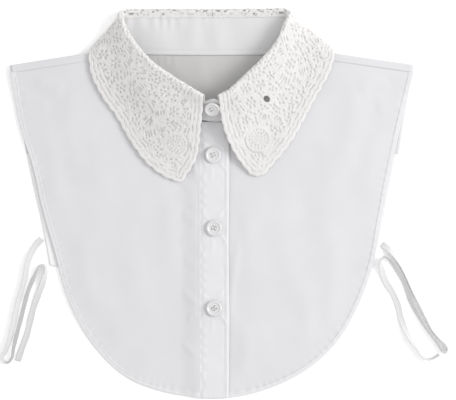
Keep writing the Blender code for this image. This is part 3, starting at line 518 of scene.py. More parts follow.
def grid_normals(grid, up):
    """Normals of a grid of points, on the side that the given direction points to."""
    normal = unit(np.cross(np.gradient(grid, axis=0), np.gradient(grid, axis=1)))
    return normal * np.sign((normal * up).sum(-1).mean())


def creases(x, y, table):
    """Height of soft creases, each fading towards its ends."""
    total = np.zeros(np.shape(x))
    for x0, y0, x1, y1, width, height in table:
        sx, sy = x1 - x0, y1 - y0
        length = math.hypot(sx, sy)
        share = ((x - x0) * sx + (y - y0) * sy) / length**2
        away = ((x - x0) * sy - (y - y0) * sx) / length
        away = away + 0.25 * width * np.sin(5.0 * share + x0)
        fade = ease(share / 0.35 + 0.3) * ease((1.0 - share) / 0.35 + 0.3)
        total += height * fade * bump(away, width)
    return total


def ripples(x, y):
    """Faint unevenness of pressed cloth."""
    return (
        0.10 * np.sin(0.11 * x + 0.05 * y) * np.sin(0.07 * y - 0.03 * x + 1.0)
        + 0.05 * np.sin(0.31 * x - 0.12 * y + 2.0) * np.sin(0.23 * y + 0.4)
    )


def stitches(name, lines, finish, length=1.9, pitch=2.7, radius=0.17):
    """Short thread capsules along lines of points and normals, joined in one mesh."""
    points, faces = [], []
    ring = np.radians(np.arange(6) * 60.0)
    profile = ((-0.5, 0.35), (-0.36, 1.0), (0.36, 1.0), (0.5, 0.35))
    for line, normal in lines:
        travelled = lengths_along(line)
        count = max(1, int(travelled[-1] / pitch))
        for k in range(count):
            middle = (k + 0.5) * travelled[-1] / count
            at = read(line, travelled, [middle - 0.3, middle, middle + 0.3])
            up = unit(read(normal, travelled, [middle])[0])
            run = unit(at[2] - at[0])
            side = np.cross(up, run)
            base = len(points)
            for share, thick in profile:
                for turn in ring:
                    points.append(
                        at[1] + share * length * run + thick * radius * (math.cos(turn) * side + math.sin(turn) * up)
                    )
            for r in range(len(profile) - 1):
                for i in range(6):
                    j = (i + 1) % 6
                    low, high = base + 6 * r, base + 6 * r + 6
                    faces.append((low + i, low + j, high + j, high + i))
            faces.append(tuple(base + i for i in range(5, -1, -1)))
            faces.append(tuple(base + 6 * (len(profile) - 1) + i for i in range(6)))
    return add_mesh(name, points, faces, finish)


# --- panels ----------------------------------------------------------------------------

SHELL = 0.4
PANEL_TOP = 0.62
HEM_WIDTH, HEM_RISE = 4.0, 0.28
LAP_EDGE = 0.06
# The part of the back that shows inside the neck, given a darker tone: painted shade under the collar.
PAINTED_SHADE_REACH, PAINTED_SHADE_LOW, PAINTED_SHADE_HIGH = 74.0, 60.0, 119.4
# Its side margins, which show beside the fronts, given a lighter tone: painted light against the shade of their slope.
PAINTED_LIGHT_REACH, PAINTED_LIGHT_TOP = 100.0, 40.0


def hem_relief(away, travelled):
    """A turned hem: a raised strip along the edge, puckered a little beside its stitches."""
    strip = HEM_RISE * (1.0 - ease((away - HEM_WIDTH + 0.5) / 0.8)) * ease(away / 0.5 + 0.4)
    pucker = 0.26 * np.sin(0.9 * travelled + 2.0 * np.sin(0.13 * travelled)) * bump(away - HEM_WIDTH, 2.6)
    return strip + pucker * (0.4 + 0.6 * np.sin(0.045 * travelled + 0.7) ** 2)


def soft_height(x, y, table):
    """Creases and ripples of a front, none of them at its shoulder seam."""
    shoulder = SHOULDER_LEFT if table is LEFT_CREASES else SHOULDER_RIGHT
    fade = ease((nearest_on_line(x, y, shoulder)[0] - 7.0) / 9.0)
    return np.maximum(creases(x, y, table) + ripples(x, y) + 0.15, 0.0) * fade


def front_panel(name, stations, edge_points, shoulder, closure_x, height, table, finish, hem_and_painted_light_finish):
    """One front on rays from the neck seam out to the side and bottom edge."""
    start, end = np.asarray(shoulder, float)
    run = unit(end - start)
    down = np.array([run[1], -run[0]]) * np.sign(run[0])
    seam = end + down * (SHOULDER_RADIUS + SHOULDER_LAP - CLOTH + GAP)
    inner = neck_outline(stations, RISE_STATIONS[0] + 1, -1)
    side = np.sign(inner[0, 0])
    inner = inner[(inner[:, 1] < seam[1]) & (side * (inner[:, 0] - closure_x) > 0.5)]
    first, last = (side * max(abs(inner[0, 0]), abs(seam[0])), seam[1]), (closure_x, inner[-1, 1])
    rays, rings = 230, 96
    inner = evenly(np.vstack([first, inner, last]), rays)
    outer = smooth_line(edge_points, rays)
    shares = np.linspace(0.0, 1.0, rings)
    shares = 1.0 - (1.0 - shares) * (0.28 + 0.72 * (1.0 - shares))
    plan = inner[None] + shares[:, None, None] * (outer - inner)[None]
    x, y = plan[..., 0], plan[..., 1]
    away, travelled = nearest_on_line(x, y, outer[::2])
    soft = soft_height(x, y, table) * ease(away / 6.0)
    top = height(x, y) + PANEL_TOP + soft + hem_relief(away, travelled)
    upper = np.stack([x, y, top], -1)
    lower = upper.copy()
    lower[..., 2] = np.maximum(top - SHELL - hem_relief(away, travelled), height(x, y) + 0.02)
    made = thin_shell(name, upper, lower, finish)
    made.data.materials.append(hem_and_painted_light_finish)
    turned_in = (away[:-1, :-1] < HEM_WIDTH).reshape(-1)
    for k in np.nonzero(turned_in)[0]:
        made.data.polygons[int(k)].material_index = 1
    line = []
    for k in range(rays):
        want = HEM_WIDTH - 0.7
        r = np.argmin(np.abs(away[:, k] - want))
        line.append(upper[r, k] + (0.0, 0.0, 0.08))
    return made, np.asarray(line)[3:-3]


def shoulder_rows(fold, down, height, reach):
    """Points over the fold at one shoulder: round the fold and down the front to the seam."""
    rows = []
    for turn in np.radians(np.linspace(18.0, 180.0, 10)):
        inset = SHOULDER_RADIUS * (1.0 - math.sin(turn))
        rows.append((inset, SHOULDER_RADIUS * (1.0 - math.cos(turn))))
    rows += [(SHOULDER_RADIUS + share * reach, 2 * SHOULDER_RADIUS) for share in (0.25, 0.5, 0.8)]
    rows += [(SHOULDER_RADIUS + reach + past, 2 * SHOULDER_RADIUS + lift) for past, lift in ((-0.1, 0.2), (0.9, 0.25))]
    middle = height + CLOTH / 2
    return [np.column_stack([fold + inset * down, middle + rise]) for inset, rise in rows]


def back_piece(finish, painted_shade_finish, hem_and_painted_light_finish):
    """The back with its neckline, its hem and a lap over each shoulder, with painted shade inside the neck and painted
    light on its side margins.
    """
    back_left = neck_outline(LEFT_STATIONS, 0, RISE_STATIONS[0])
    back_right = neck_outline(RIGHT_STATIONS, 0, RISE_STATIONS[0])
    side_columns, neck_columns, count = 40, 110, 90
    neckline = np.vstack([SHOULDER_LEFT[1:], back_left[::-1], back_right[1:], SHOULDER_RIGHT[1:]])
    neckline = evenly(neckline, neck_columns)
    folds, downs = [], []
    for shoulder in (SHOULDER_LEFT, SHOULDER_RIGHT):
        start, end = np.asarray(shoulder, float)
        run = unit(end - start)
        folds.append(evenly(np.stack([start, end]), side_columns))
        downs.append(np.array([run[1], -run[0]]) * np.sign(run[0]))
    folds[1] = folds[1][::-1]
    tops = [fold + SHOULDER_RADIUS * down for fold, down in zip(folds, downs)]
    top = np.vstack([tops[0], neckline[1:-1], tops[1]])
    shares = lengths_along(top)
    shares = shares / shares[-1]
    hem_x = BACK_HEM[0][0] + shares * (BACK_HEM[2][0] - BACK_HEM[0][0])
    hem = np.stack([hem_x, np.polyval(HEM_CURVE, hem_x)], -1)
    left = smooth_line(BACK_LEFT_EDGE, count)[::-1]
    right = smooth_line(BACK_RIGHT_EDGE, count)[::-1]
    grid = []
    for k, up in enumerate(np.linspace(0.0, 1.0, count)):
        ruled = (1 - up) * hem + up * top
        plan = ruled + (1 - shares)[:, None] * (left[k] - (1 - up) * hem[0] - up * top[0])
        plan = plan + shares[:, None] * (right[k] - (1 - up) * hem[-1] - up * top[-1])
        lift = creases(plan[:, 0], plan[:, 1], BACK_CREASES) * min(1.0, (count - 1 - k) / 3.0 + 0.5)
        grid.append(np.column_stack([plan, back_height(plan[:, 0], plan[:, 1]) + CLOTH / 2 + lift]))
    reach = SHOULDER_LAP - CLOTH
    wraps = [
        shoulder_rows(fold, down, back_height(fold[:, 0], fold[:, 1]), reach) for fold, down in zip(folds, downs)
    ]
    fillers = neck_columns - 2
    for left_row, right_row in zip(*wraps):
        grid.append(np.vstack([left_row, np.repeat(left_row[-1:], fillers, axis=0), right_row]))
    grid = np.asarray(grid)
    keep = np.ones((len(grid) - 1, grid.shape[1] - 1), bool)
    keep[count - 1:, side_columns - 1:side_columns + fillers] = False
    normal = np.zeros_like(grid)
    for part in (slice(0, side_columns), slice(side_columns + fillers, None)):
        normal[:, part] = grid_normals(grid[:, part], np.array([0.0, 0.0, 1.0]))
    middle = slice(side_columns, side_columns + fillers)
    normal[:, middle] = (0.0, 0.0, 1.0)
    flat = unit(np.cross(np.gradient(grid[:count], axis=0), np.gradient(grid[:count], axis=1)))
    normal[:count] = flat * np.sign(flat[..., 2:].mean())
    for part, fold in ((slice(0, side_columns), 0), (slice(side_columns + fillers, None), 1)):
        wrap = unit(np.cross(np.gradient(grid[:, part], axis=0), np.gradient(grid[:, part], axis=1)))
        normal[:, part] = wrap * np.sign(wrap[:count // 2, :, 2].mean())
    half = np.full((len(grid), 1, 1), SHELL / 2)
    half[-2:] = LAP_EDGE
    made = thin_shell("back_cloth", grid + half * normal, grid - half * normal, finish, keep)
    made.data.materials.append(painted_shade_finish)
    made.data.materials.append(hem_and_painted_light_finish)
    for face in made.data.polygons:
        # Inside the neck the darker tone is painted shade.
        if abs(face.center.x) < PAINTED_SHADE_REACH * MM and face.center.y > PAINTED_SHADE_LOW * MM:
            face.material_index = int(face.center.y < PAINTED_SHADE_HIGH * MM)
        # On the side margins the lighter tone is painted light.
        elif abs(face.center.x) > PAINTED_LIGHT_REACH * MM and face.center.y < PAINTED_LIGHT_TOP * MM:
            face.material_index = 2
    return made


# Pulls in the cloth round a sewn button: x, y of both ends from the button, half width, height.
BUTTON_PULLS = (
    (-10.4, 2.4, -4.6, -9.4, 1.3, 0.5), (5.2, -5.6, 10.4, -13.2, 1.4, 0.4),
    (2.4, 8.8, 9.4, 16.8, 1.6, 0.35), (-9.4, 12.0, -3.4, 5.4, 1.5, 0.35), (-1.0, -8.0, -2.0, -20.0, 1.6, 0.25),
)
BAND_LAP = 0.9


def band_piece(finish):
    """The button band: a doubled strip, a little full between its stitched edges."""
    ys = np.linspace(BAND_BOTTOM, BAND_TOP, 320)
    across = np.concatenate([[-BAND_LAP, -0.5 * BAND_LAP], np.linspace(0.0, BAND_RIGHT - BAND_LEFT, 40)])
    x, y = np.meshgrid(BAND_LEFT + across, ys)
    inside = x - BAND_LEFT
    x = x + 0.3 * np.sin(0.05 * y) * ease(inside / 8.0)
    full = 0.32 * ease(inside / 3.0) * ease((BAND_RIGHT - x - 0.4) / 2.0)
    pulls = np.zeros_like(x)
    for bx, by in BUTTON_PLACES:
        pulls += creases(x - bx, y - by, BUTTON_PULLS)
    waves = 0.3 * np.sin(0.62 * y + 2.0 * np.sin(0.11 * y)) * bump(inside - 2.4, 2.0)
    waves += 0.12 * np.sin(0.4 * y + 1.0) * bump(BAND_RIGHT - x - 4.0, 2.0)
    ridge = 0.3 * bump(BAND_RIGHT - x - 1.4, 0.9)
    stitched = 0.12 * bump(inside - 2.0, 0.6) + 0.14 * bump(BAND_RIGHT - x - 3.4, 0.6)
    top = band_height(x, y) + 0.95 + full + pulls + waves + ridge - stitched
    beside = left_front_height(x, y) + PANEL_TOP + soft_height(x, y, LEFT_CREASES) + 0.04
    lapped = 1.0 - ease(inside / 2.0)
    top = np.maximum(top + lapped * (beside - top), band_height(x, y) + 0.4)
    upper = np.stack([x, y, top], -1)
    lower = upper.copy()
    under = band_height(x, y) + 0.25
    lower[..., 2] = np.where(inside < 0.3, top - 0.1, under)
    made = thin_shell("band_cloth", upper, lower, finish)
    lines = []
    for place in (1.4, BAND_RIGHT - BAND_LEFT - 3.6):
        column = np.argmin(np.abs(across - place))
        lines.append(upper[::2, column] + (0.0, 0.0, 0.06))
    return made, lines


def stand_piece(finish):
    """The collar stand, doubled cloth with its small gathers and its topstitching."""
    left_neck, left_top = stand_lines(LEFT_STATIONS, LEFT_STAND_END, 200)
    right_neck, right_top = stand_lines(RIGHT_STATIONS, RIGHT_STAND_END, 200)
    neck = np.vstack([left_neck[::-1], right_neck[1:]])
    top = np.vstack([left_top[::-1], right_top[1:]])
    count = 560
    neck, top = evenly(neck, count), read(top, lengths_along(neck), np.linspace(0, lengths_along(neck)[-1], count))
    shares = np.linspace(0.0, 1.0, 34)
    grid = neck[None] + shares[:, None, None] * (top - neck)[None]
    facing = unit(np.cross(np.gradient(grid, axis=1), np.gradient(grid, axis=0)))
    middle = count // 2
    facing = facing * np.sign(facing[:, middle, 2].mean())
    # its seam allowance, folded out over the panels' edge
    outer = unit(neck - top)
    lift = np.tanh(3.0 * facing[0, :, 2])[:, None] * facing[0]
    along_neck = lengths_along(neck)
    lower_behind = 1.0 - 0.5 * bump(along_neck - along_neck[middle], 75.0)[:, None]
    seam_rows = [neck + past * outer + rise * lower_behind * lift for past, rise in ((1.0, 0.62), (0.5, 0.55))]
    grid = np.concatenate([np.asarray(seam_rows), grid])
    facing = np.concatenate([facing[:1], facing[:1], facing])
    up = np.broadcast_to(np.concatenate([[0.0, 0.0], shares])[:, None], grid.shape[:2])
    travelled = np.broadcast_to(lengths_along(neck), grid.shape[:2])
    x = grid[..., 0]
    behind = bump(np.abs(travelled - travelled[0, middle]), 95.0)
    gathers = 0.3 * np.sin(0.75 * x + 1.6 * np.sin(0.17 * x)) * bump(1.0 - up, 0.3) * bump(x + 45.0, 34.0)
    gathers += 0.45 * np.sin(0.24 * x + 1.1 * np.sin(0.07 * x)) * np.sin(np.pi * up) * bump(x + 30.0, 55.0)
    gathers += 0.2 * np.sin(0.16 * x + 0.6 + 2.0 * up) * np.sin(np.pi * up) * behind
    gathers *= behind > 0.01
    seam = 0.28 * bump((up - 0.03) * 30.0, 0.8) - 0.3 * bump((up - 0.1) * 30.0, 0.5) * ease(up * 60.0)
    relief = (gathers + seam)[..., None]
    thin = np.ones(len(grid))
    thin[:2] = 0.2, 0.5
    upper = grid + facing * (0.42 * thin[:, None, None] + relief)
    lower = grid - facing * (0.42 * thin[:, None, None] - 0.5 * relief)
    made = thin_shell("stand_cloth", upper, lower, finish)
    row = 5
    inside = slice(middle - 190, middle + 190)
    return made, [(upper[row, inside] + 0.05 * facing[row, inside], facing[row, inside])]


# --- lace ------------------------------------------------------------------------------

LACE_BASE, LACE_BACK, DENT_DEPTH, DENT_BACK = -0.02, 0.3, 0.72, 0.66
# Rows of slots along the free edge: distance from it, half length, half width, pitch, slant.
SLOT_ROWS = (
    (3.15, 1.3, 0.2, 4.1, 0.0), (6.35, 1.5, 0.36, 5.3, 0.0), (9.4, 0.7, 0.45, 3.7, 0.4),
)
# Raised bands between them: distance, half width, height, pitch of their twist, slant, depth.
CORD_ROWS = (
    (1.5, 1.4, 0.4, 9.0, 0.0, 0.08), (4.75, 1.3, 0.32, 3.3, 1.3, 0.35), (7.9, 1.1, 0.24, 2.6, 0.9, 0.5),
)
FIELD_START = 10.0
# Motifs placed in plan: kind, x, y, radius or reach, turn.
RIGHT_MOTIFS = (
    ("rosette", 26.4, 91.4, 5.2, 0.2), ("rosette", 30.4, 80.0, 5.4, 0.6), ("rosette", 55.0, 83.2, 5.6, 0.1),
    ("rosette", 38.4, 94.6, 4.8, 0.9), ("fan", 36.8, 51.2, 10.4, 0.0), ("ladder", 57.6, 98.4, 2.8, 0.1),
    ("ladder", 68.8, 97.2, 2.8, 0.0), ("ladder", 41.6, 68.8, 2.4, 0.5), ("ladder", 52.8, 66.4, 2.4, -0.2),
    ("rosette", 62.0, 111.2, 5.2, 0.4), ("rosette", 26.4, 66.4, 4.4, 0.3),
)
LEFT_MOTIFS = (
    ("rosette", -37.6, 88.8, 5.6, 0.3), ("rosette", -30.4, 72.8, 5.4, 0.0), ("fan", -28.8, 47.2, 9.6, 0.4),
    ("ladder", -56.6, 92.4, 2.8, 0.1), ("ladder", -47.2, 79.8, 2.8, 0.0), ("rosette", -51.2, 66.4, 5.2, 0.7),
    ("ladder", -40.4, 60.8, 2.4, 0.2), ("ladder", -21.6, 81.4, 2.4, -0.3), ("rosette", -72.8, 92.0, 5.6, 0.2),
    ("ladder", -66.4, 112.4, 2.8, 0.0),
)
LEAF_LAP, LEAF_LAP_RISE = 1.0, 0.75
BACK_PART, BORDER_SLACK, BORDER_BLOCK = 0.47, 0.1, 12


def border_places(grid, places):
    """Distance of each point from the free edge over the leaf itself, and the place along it."""
    rows = len(grid)
    under = np.cumsum(np.linalg.norm(np.diff(grid[:, ::-1], axis=1), axis=-1), axis=1)
    away = np.concatenate([np.zeros((rows, 1)), under], 1)[:, ::-1]
    border = np.vstack([grid[:, -1], grid[-1, ::-1][1:-14]])[:, :2]
    knots = lengths_along(border)
    run = np.broadcast_to(knots[:rows, None], away.shape).copy()
    for first in range(int(np.searchsorted(places, BACK_PART)), rows, BORDER_BLOCK):
        block = slice(first, min(first + BORDER_BLOCK, rows))
        start = int(np.searchsorted(places, places[first] - BORDER_SLACK))
        line = evenly(border[start:], 100)
        beside, travelled = nearest_on_line(grid[block, :, 0], grid[block, :, 1], line)
        reached = travelled > 0.0
        away[block] = np.where(reached, beside, away[block])
        run[block] = np.where(reached, knots[start] + travelled, run[block])
    return away, run


def ellipse_distance(x, y, a, b):
    """Distance to an ellipse's edge, near enough, negative inside."""
    near = np.hypot(x / a, y / b) + 1e-9
    return near * (near - 1.0) / (np.hypot(x / a**2, y / b**2) + 1e-9)


def lace_leaf(name, stations, finish):
    """One leaf as openwork: holes cut in a grid, with raised cords and rims round them."""
    rng = np.random.default_rng(SEED)
    side = np.sign(stations[-1][6])
    coarse = leaf_rows(stations, np.linspace(0.0, 1.0, 300), np.linspace(0.03, 1.0, 30))
    travelled = lengths_along(coarse[:, -1])
    along = np.linspace(0.0, 1.0, 300)
    turn = np.interp(0.38, along, travelled)
    back = np.arange(0.0, turn, 1.15)
    front = np.linspace(turn, travelled[-1], int((travelled[-1] - turn) / 0.52))
    places = np.interp(np.concatenate([back, front]), travelled, along)
    columns = 92
    grid = leaf_rows(stations, places, np.linspace(0.0, 1.0, columns)[1:], tucked=5)
    inward, over = fold_frame(stations, places)
    down_stand = unit(collar_lines(stations, places)["neck"] - grid[:, 0])
    lapped = grid[:, 0] + LEAF_LAP * down_stand - LEAF_LAP_RISE * over
    grid[:, 0] -= 0.5 * LEAF_LAP_RISE * over
    grid = np.concatenate([lapped[:, None], grid], axis=1)
    grid[0, :, 0] = side * 0.02
    # scalloped edge, pushed out over the last few points of each row
    edge_run = lengths_along(grid[:, -1])
    waves = max(1, round(edge_run[-1] / SCALLOP_PITCH))
    depth = SCALLOP_DEPTH * (np.abs(np.sin(np.pi * edge_run / edge_run[-1] * waves)) - 0.6)
    outward = unit(grid[:, -1] - grid[:, -4])
    from_edge = np.linalg.norm(grid - grid[:, -1:], axis=-1)
    grid = grid + outward[:, None] * (depth[:, None] * (1.0 - ease(from_edge / 3.0)))[..., None]
    ends_run = lengths_along(grid[-1])
    ends = unit(grid[-1] - grid[-5])
    ends[:, 2] = 0.0
    push = 0.9 * (np.abs(np.sin(np.pi * ends_run / 8.5)) - 0.5) * ease((ends_run - 12.0) / 6.0)
    from_end = np.linalg.norm(grid - grid[-1:], axis=-1)
    fade = 1.0 - ease(from_end / 3.0)
    grid = grid + ends[None] * (push[None] * fade)[..., None]
    normal = unit(np.cross(np.gradient(grid, axis=0), np.gradient(grid, axis=1)))
    normal = normal * np.sign(normal[-80:, -40:-10, 2].mean())
    rows, width = grid.shape[:2]
    away, run = border_places(grid, places)
    open_, dent = np.full((rows, width), 9.0), np.full((rows, width), 9.0)
    relief = np.zeros((rows, width))
    for centre, half_long, half_wide, period, slant in SLOT_ROWS:
        phase = ((run + 0.5 * np.sin(0.37 * run + centre)) / period + 0.25 * centre) % 1.0 - 0.5
        y = away - centre - 0.2 * np.sin(0.55 * run + centre)
        x = phase * period + slant * y
        slot = np.hypot(np.maximum(np.abs(x) - half_long + half_wide, 0.0), y) - half_wide
        dent = np.minimum(dent, slot)
    for centre, half_wide, height, period, slant, depth in CORD_ROWS:
        y = away - centre - 0.15 * np.sin(0.55 * run + centre)
        strand = 0.5 + 0.5 * np.cos(2.0 * math.pi * (run + slant * y) / period)
        band = ease((half_wide + 0.4 - np.abs(y)) / 0.8)
        relief = np.maximum(relief, height * (1.0 - depth * strand) * band)
    tree = KDTree(rows * width)
    for k, point in enumerate(grid.reshape(-1, 3)):
        tree.insert(point, k)
    tree.balance()
    flat, flat_normal = grid.reshape(-1, 3), normal.reshape(-1, 3)
    flat_open, flat_dent, flat_relief = open_.reshape(-1), dent.reshape(-1), relief.reshape(-1)
    run_along = unit(np.gradient(grid, axis=0)).reshape(-1, 3)
    flat_away = away.reshape(-1)

    def local(centre_index, reach):
        """Points near a place on the surface, in the surface's own plane there."""
        centre = flat[centre_index]
        found = np.array([index for _, index, _ in tree.find_range(centre, reach)])
        offset = flat[found] - centre
        along_axis = run_along[centre_index]
        up = flat_normal[centre_index]
        same = np.abs(offset @ up) < 0.9 + 0.25 * np.linalg.norm(offset, axis=1)
        found, offset = found[same], offset[same]
        return found, offset @ along_axis, offset @ np.cross(up, along_axis)

    taken = []

    def pierce(centre_index, offset_x, offset_y, a, b, angle, rim, through):
        """One oval hole or hollow with a raised rim of thread."""
        up, axis = flat_normal[centre_index], run_along[centre_index]
        place = flat[centre_index] + offset_x * axis + offset_y * np.cross(up, axis)
        _, index, _ = tree.find(place)
        found, x, y = local(index, max(a, b) + 2.2)
        c, s = math.cos(angle), math.sin(angle)
        x, y = c * x + s * y, c * y - s * x
        distance = ellipse_distance(x, y, a, b)
        level = flat_open if through else flat_dent
        level[found] = np.minimum(level[found], distance)
        flat_relief[found] = np.maximum(flat_relief[found], rim * bump(distance - 0.6, 0.45))
        taken.append((*flat[index], max(a, b)))

    def rosette(centre_index, radius, turn):
        """A ring of holes round one in the middle, inside a low outline cord."""
        found, x, y = local(centre_index, radius + 2.0)
        away_here, angle = np.hypot(x, y), np.arctan2(y, x)
        petals = 5 + int(radius > 5.1)
        outline = radius * (1.0 + 0.07 * np.cos(petals * (angle - turn)))
        flat_relief[found] = np.maximum(flat_relief[found], 0.26 * bump(away_here - outline, 0.7))
        pierce(centre_index, 0.0, 0.0, 0.95, 0.85, turn, 0.3, False)
        for k in range(petals):
            a = turn + 2.0 * math.pi * k / petals + rng.normal(0.0, 0.12)
            out = 0.6 * radius * rng.uniform(0.92, 1.08)
            long, wide = rng.uniform(1.0, 1.5), rng.uniform(0.75, 0.95)
            pierce(centre_index, out * math.cos(a), out * math.sin(a), long, wide, a, 0.3, rng.random() < open_share)
        taken.append((*flat[centre_index], radius + 0.4))

    def ladder(centre_index, half_long, turn):
        """Slits side by side, mostly along the collar."""
        for step in (-1.5, -0.5, 0.5, 1.5)[:int(rng.integers(3, 5))]:
            shift, slide = 2.2 * step + rng.normal(0.0, 0.2), rng.normal(0.0, 0.6)
            long, lean = half_long * rng.uniform(0.5, 1.1), turn + rng.normal(0.0, 0.15)
            pierce(centre_index, slide * math.cos(turn) - shift * math.sin(turn),
                   slide * math.sin(turn) + shift * math.cos(turn), long, 0.5, lean, 0.34, False)
        taken.append((*flat[centre_index], 4.6))

    def fan(centre_index, radius, turn):
        """A close-worked lobe with fine holes on arcs, inside a curved slit."""
        found, x, y = local(centre_index, radius + 2.0)
        away_here, angle = np.hypot(x, y), np.arctan2(y, x)
        flat_relief[found] = np.maximum(flat_relief[found], 0.3 * bump(away_here - radius + 0.9, 0.9))
        half_turn = np.abs((angle - turn + math.pi) % (2.0 * math.pi) - math.pi)
        slit = np.hypot(np.maximum(half_turn - 0.95, 0.0) * radius, away_here - radius - 0.5) - 0.42
        flat_dent[found] = np.minimum(flat_dent[found], slit)
        for ring in (0.25, 0.5, 0.74):
            count = int(2.0 * math.pi * ring * radius / 2.7)
            for k in range(count):
                a = 2.0 * math.pi * (k + 0.5 * (ring == 0.5)) / count
                pierce(centre_index, ring * radius * math.cos(a), ring * radius * math.sin(a), 0.6, 0.42, a, 0.16, False)
        taken.append((*flat[centre_index], radius + 1.0))

    def strand(centre_index, half_long, angle, height):
        """One short raised thread."""
        found, x, y = local(centre_index, half_long + 1.2)
        c, s = math.cos(angle), math.sin(angle)
        x, y = c * x + s * y, c * y - s * x
        thread = height * bump(y, 0.55) * ease((half_long + 0.4 - np.abs(x)) / 0.7)
        flat_relief[found] = np.maximum(flat_relief[found], thread)

    open_share = 0.4
    for row in [*range(2, len(back), 2), *range(len(back), rows - 16, 6)]:
        pierce(row * width + int(rng.integers(3, 14)), 0.0, 0.0, rng.uniform(0.9, 1.7), 0.75, rng.uniform(-0.9, 0.9), 0.34,
               rng.random() < open_share)
    open_share = 0.0
    shapes = {"rosette": rosette, "ladder": ladder, "fan": fan}
    if side > 0:
        patch = leaf_rows(stations, np.array([EYE_ALONG - 0.01, EYE_ALONG + 0.01]), (EYE_SHARE - 0.01, EYE_SHARE + 0.01))
        _, index, _ = tree.find(patch[:, -2:].reshape(-1, 3).mean(0))
        pierce(index, 0.0, 0.0, EYE_LENGTH / 2, EYE_WIDTH / 2, math.pi / 2, 0.3, True)
        taken.append((*flat[index], 4.2))
    facing_up = flat_normal[:, 2] > 0.2
    for kind, x, y, size, turn in RIGHT_MOTIFS if side > 0 else LEFT_MOTIFS:
        index = int(np.argmin(np.hypot(flat[:, 0] - x, flat[:, 1] - y) + 99.0 * ~facing_up))
        shapes[kind](index, size, turn)
    # smaller motifs between, then small holes and threads all over
    order = rng.permutation(rows * width)
    for radius, kind, most in ((5.4, "rosette", 14), (4.2, "ladder", 8), (1.5, "hole", 900)):
        placed = 0
        for index in order[:16000]:
            if placed >= most:
                break
            if flat_away[index] < FIELD_START + 0.7 * radius or index % width < 4:
                continue
            point = flat[index]
            known = np.asarray(taken or [(0.0, 0.0, -99.0, 0.0)])
            if (np.linalg.norm(known[:, :3] - point, axis=1) < known[:, 3] + radius).any():
                continue
            flow = 0.5 * math.sin(0.05 * point[0] + 0.03 * point[1]) + rng.normal(0.0, 0.5)
            if kind == "rosette":
                rosette(index, rng.uniform(4.6, 5.6), rng.uniform(0.0, 1.0))
            elif kind == "ladder":
                ladder(index, rng.uniform(2.0, 2.8), flow)
            else:
                size = rng.uniform(0.6, 0.9)
                pierce(index, 0.0, 0.0, size * rng.uniform(1.0, 2.0), size, flow, 0.3, rng.random() < open_share)
            placed += 1
    for index in order[16000:18200]:
        if flat_away[index] > FIELD_START:
            point = flat[index]
            flow = 0.5 * math.sin(0.06 * point[0] - 0.05 * point[1]) + rng.normal(0.0, 0.7)
            strand(index, rng.uniform(0.8, 2.4), flow, rng.uniform(0.22, 0.5))
    relief = flat_relief.reshape(rows, width)
    open_ = flat_open.reshape(rows, width)
    rounded = np.sqrt(np.clip(open_ / 0.45, 0.0, 1.0))
    hollow = ease((0.3 - flat_dent.reshape(rows, width)) / 0.6)
    raised = LACE_BASE + relief * rounded * (1.0 - hollow) - DENT_DEPTH * hollow - 0.16 * (1.0 - rounded)
    upper = grid + normal * raised[..., None]
    lower = grid - normal * ((LACE_BACK + DENT_BACK * hollow) * (0.5 + 0.5 * rounded))[..., None]
    lower[..., 2] = np.maximum(lower[..., 2], 0.02)
    open_[0], open_[-1], open_[:, 0], open_[:, -1] = 1.0, 1.0, 1.0, 1.0
    return openwork(name, upper, lower, open_, finish)


# Corner masks of a cell, its corners in order 1, 2, 4, 8, and the closed outlines of what
# is left of it: whole numbers are corners, halves are places on the sides between them.
CELL_PARTS = {
    1: [(0, 0.5, 3.5)], 2: [(1, 1.5, 0.5)], 4: [(2, 2.5, 1.5)], 8: [(3, 3.5, 2.5)],
    3: [(0, 1, 1.5, 3.5)], 6: [(1, 2, 2.5, 0.5)], 12: [(2, 3, 3.5, 1.5)], 9: [(3, 0, 0.5, 2.5)],
    7: [(0, 1, 2, 2.5, 3.5)], 14: [(1, 2, 3, 3.5, 0.5)], 13: [(2, 3, 0, 0.5, 1.5)],
    11: [(3, 0, 1, 1.5, 2.5)], 5: [(0, 0.5, 3.5), (2, 2.5, 1.5)], 10: [(1, 1.5, 0.5), (3, 3.5, 2.5)],
}


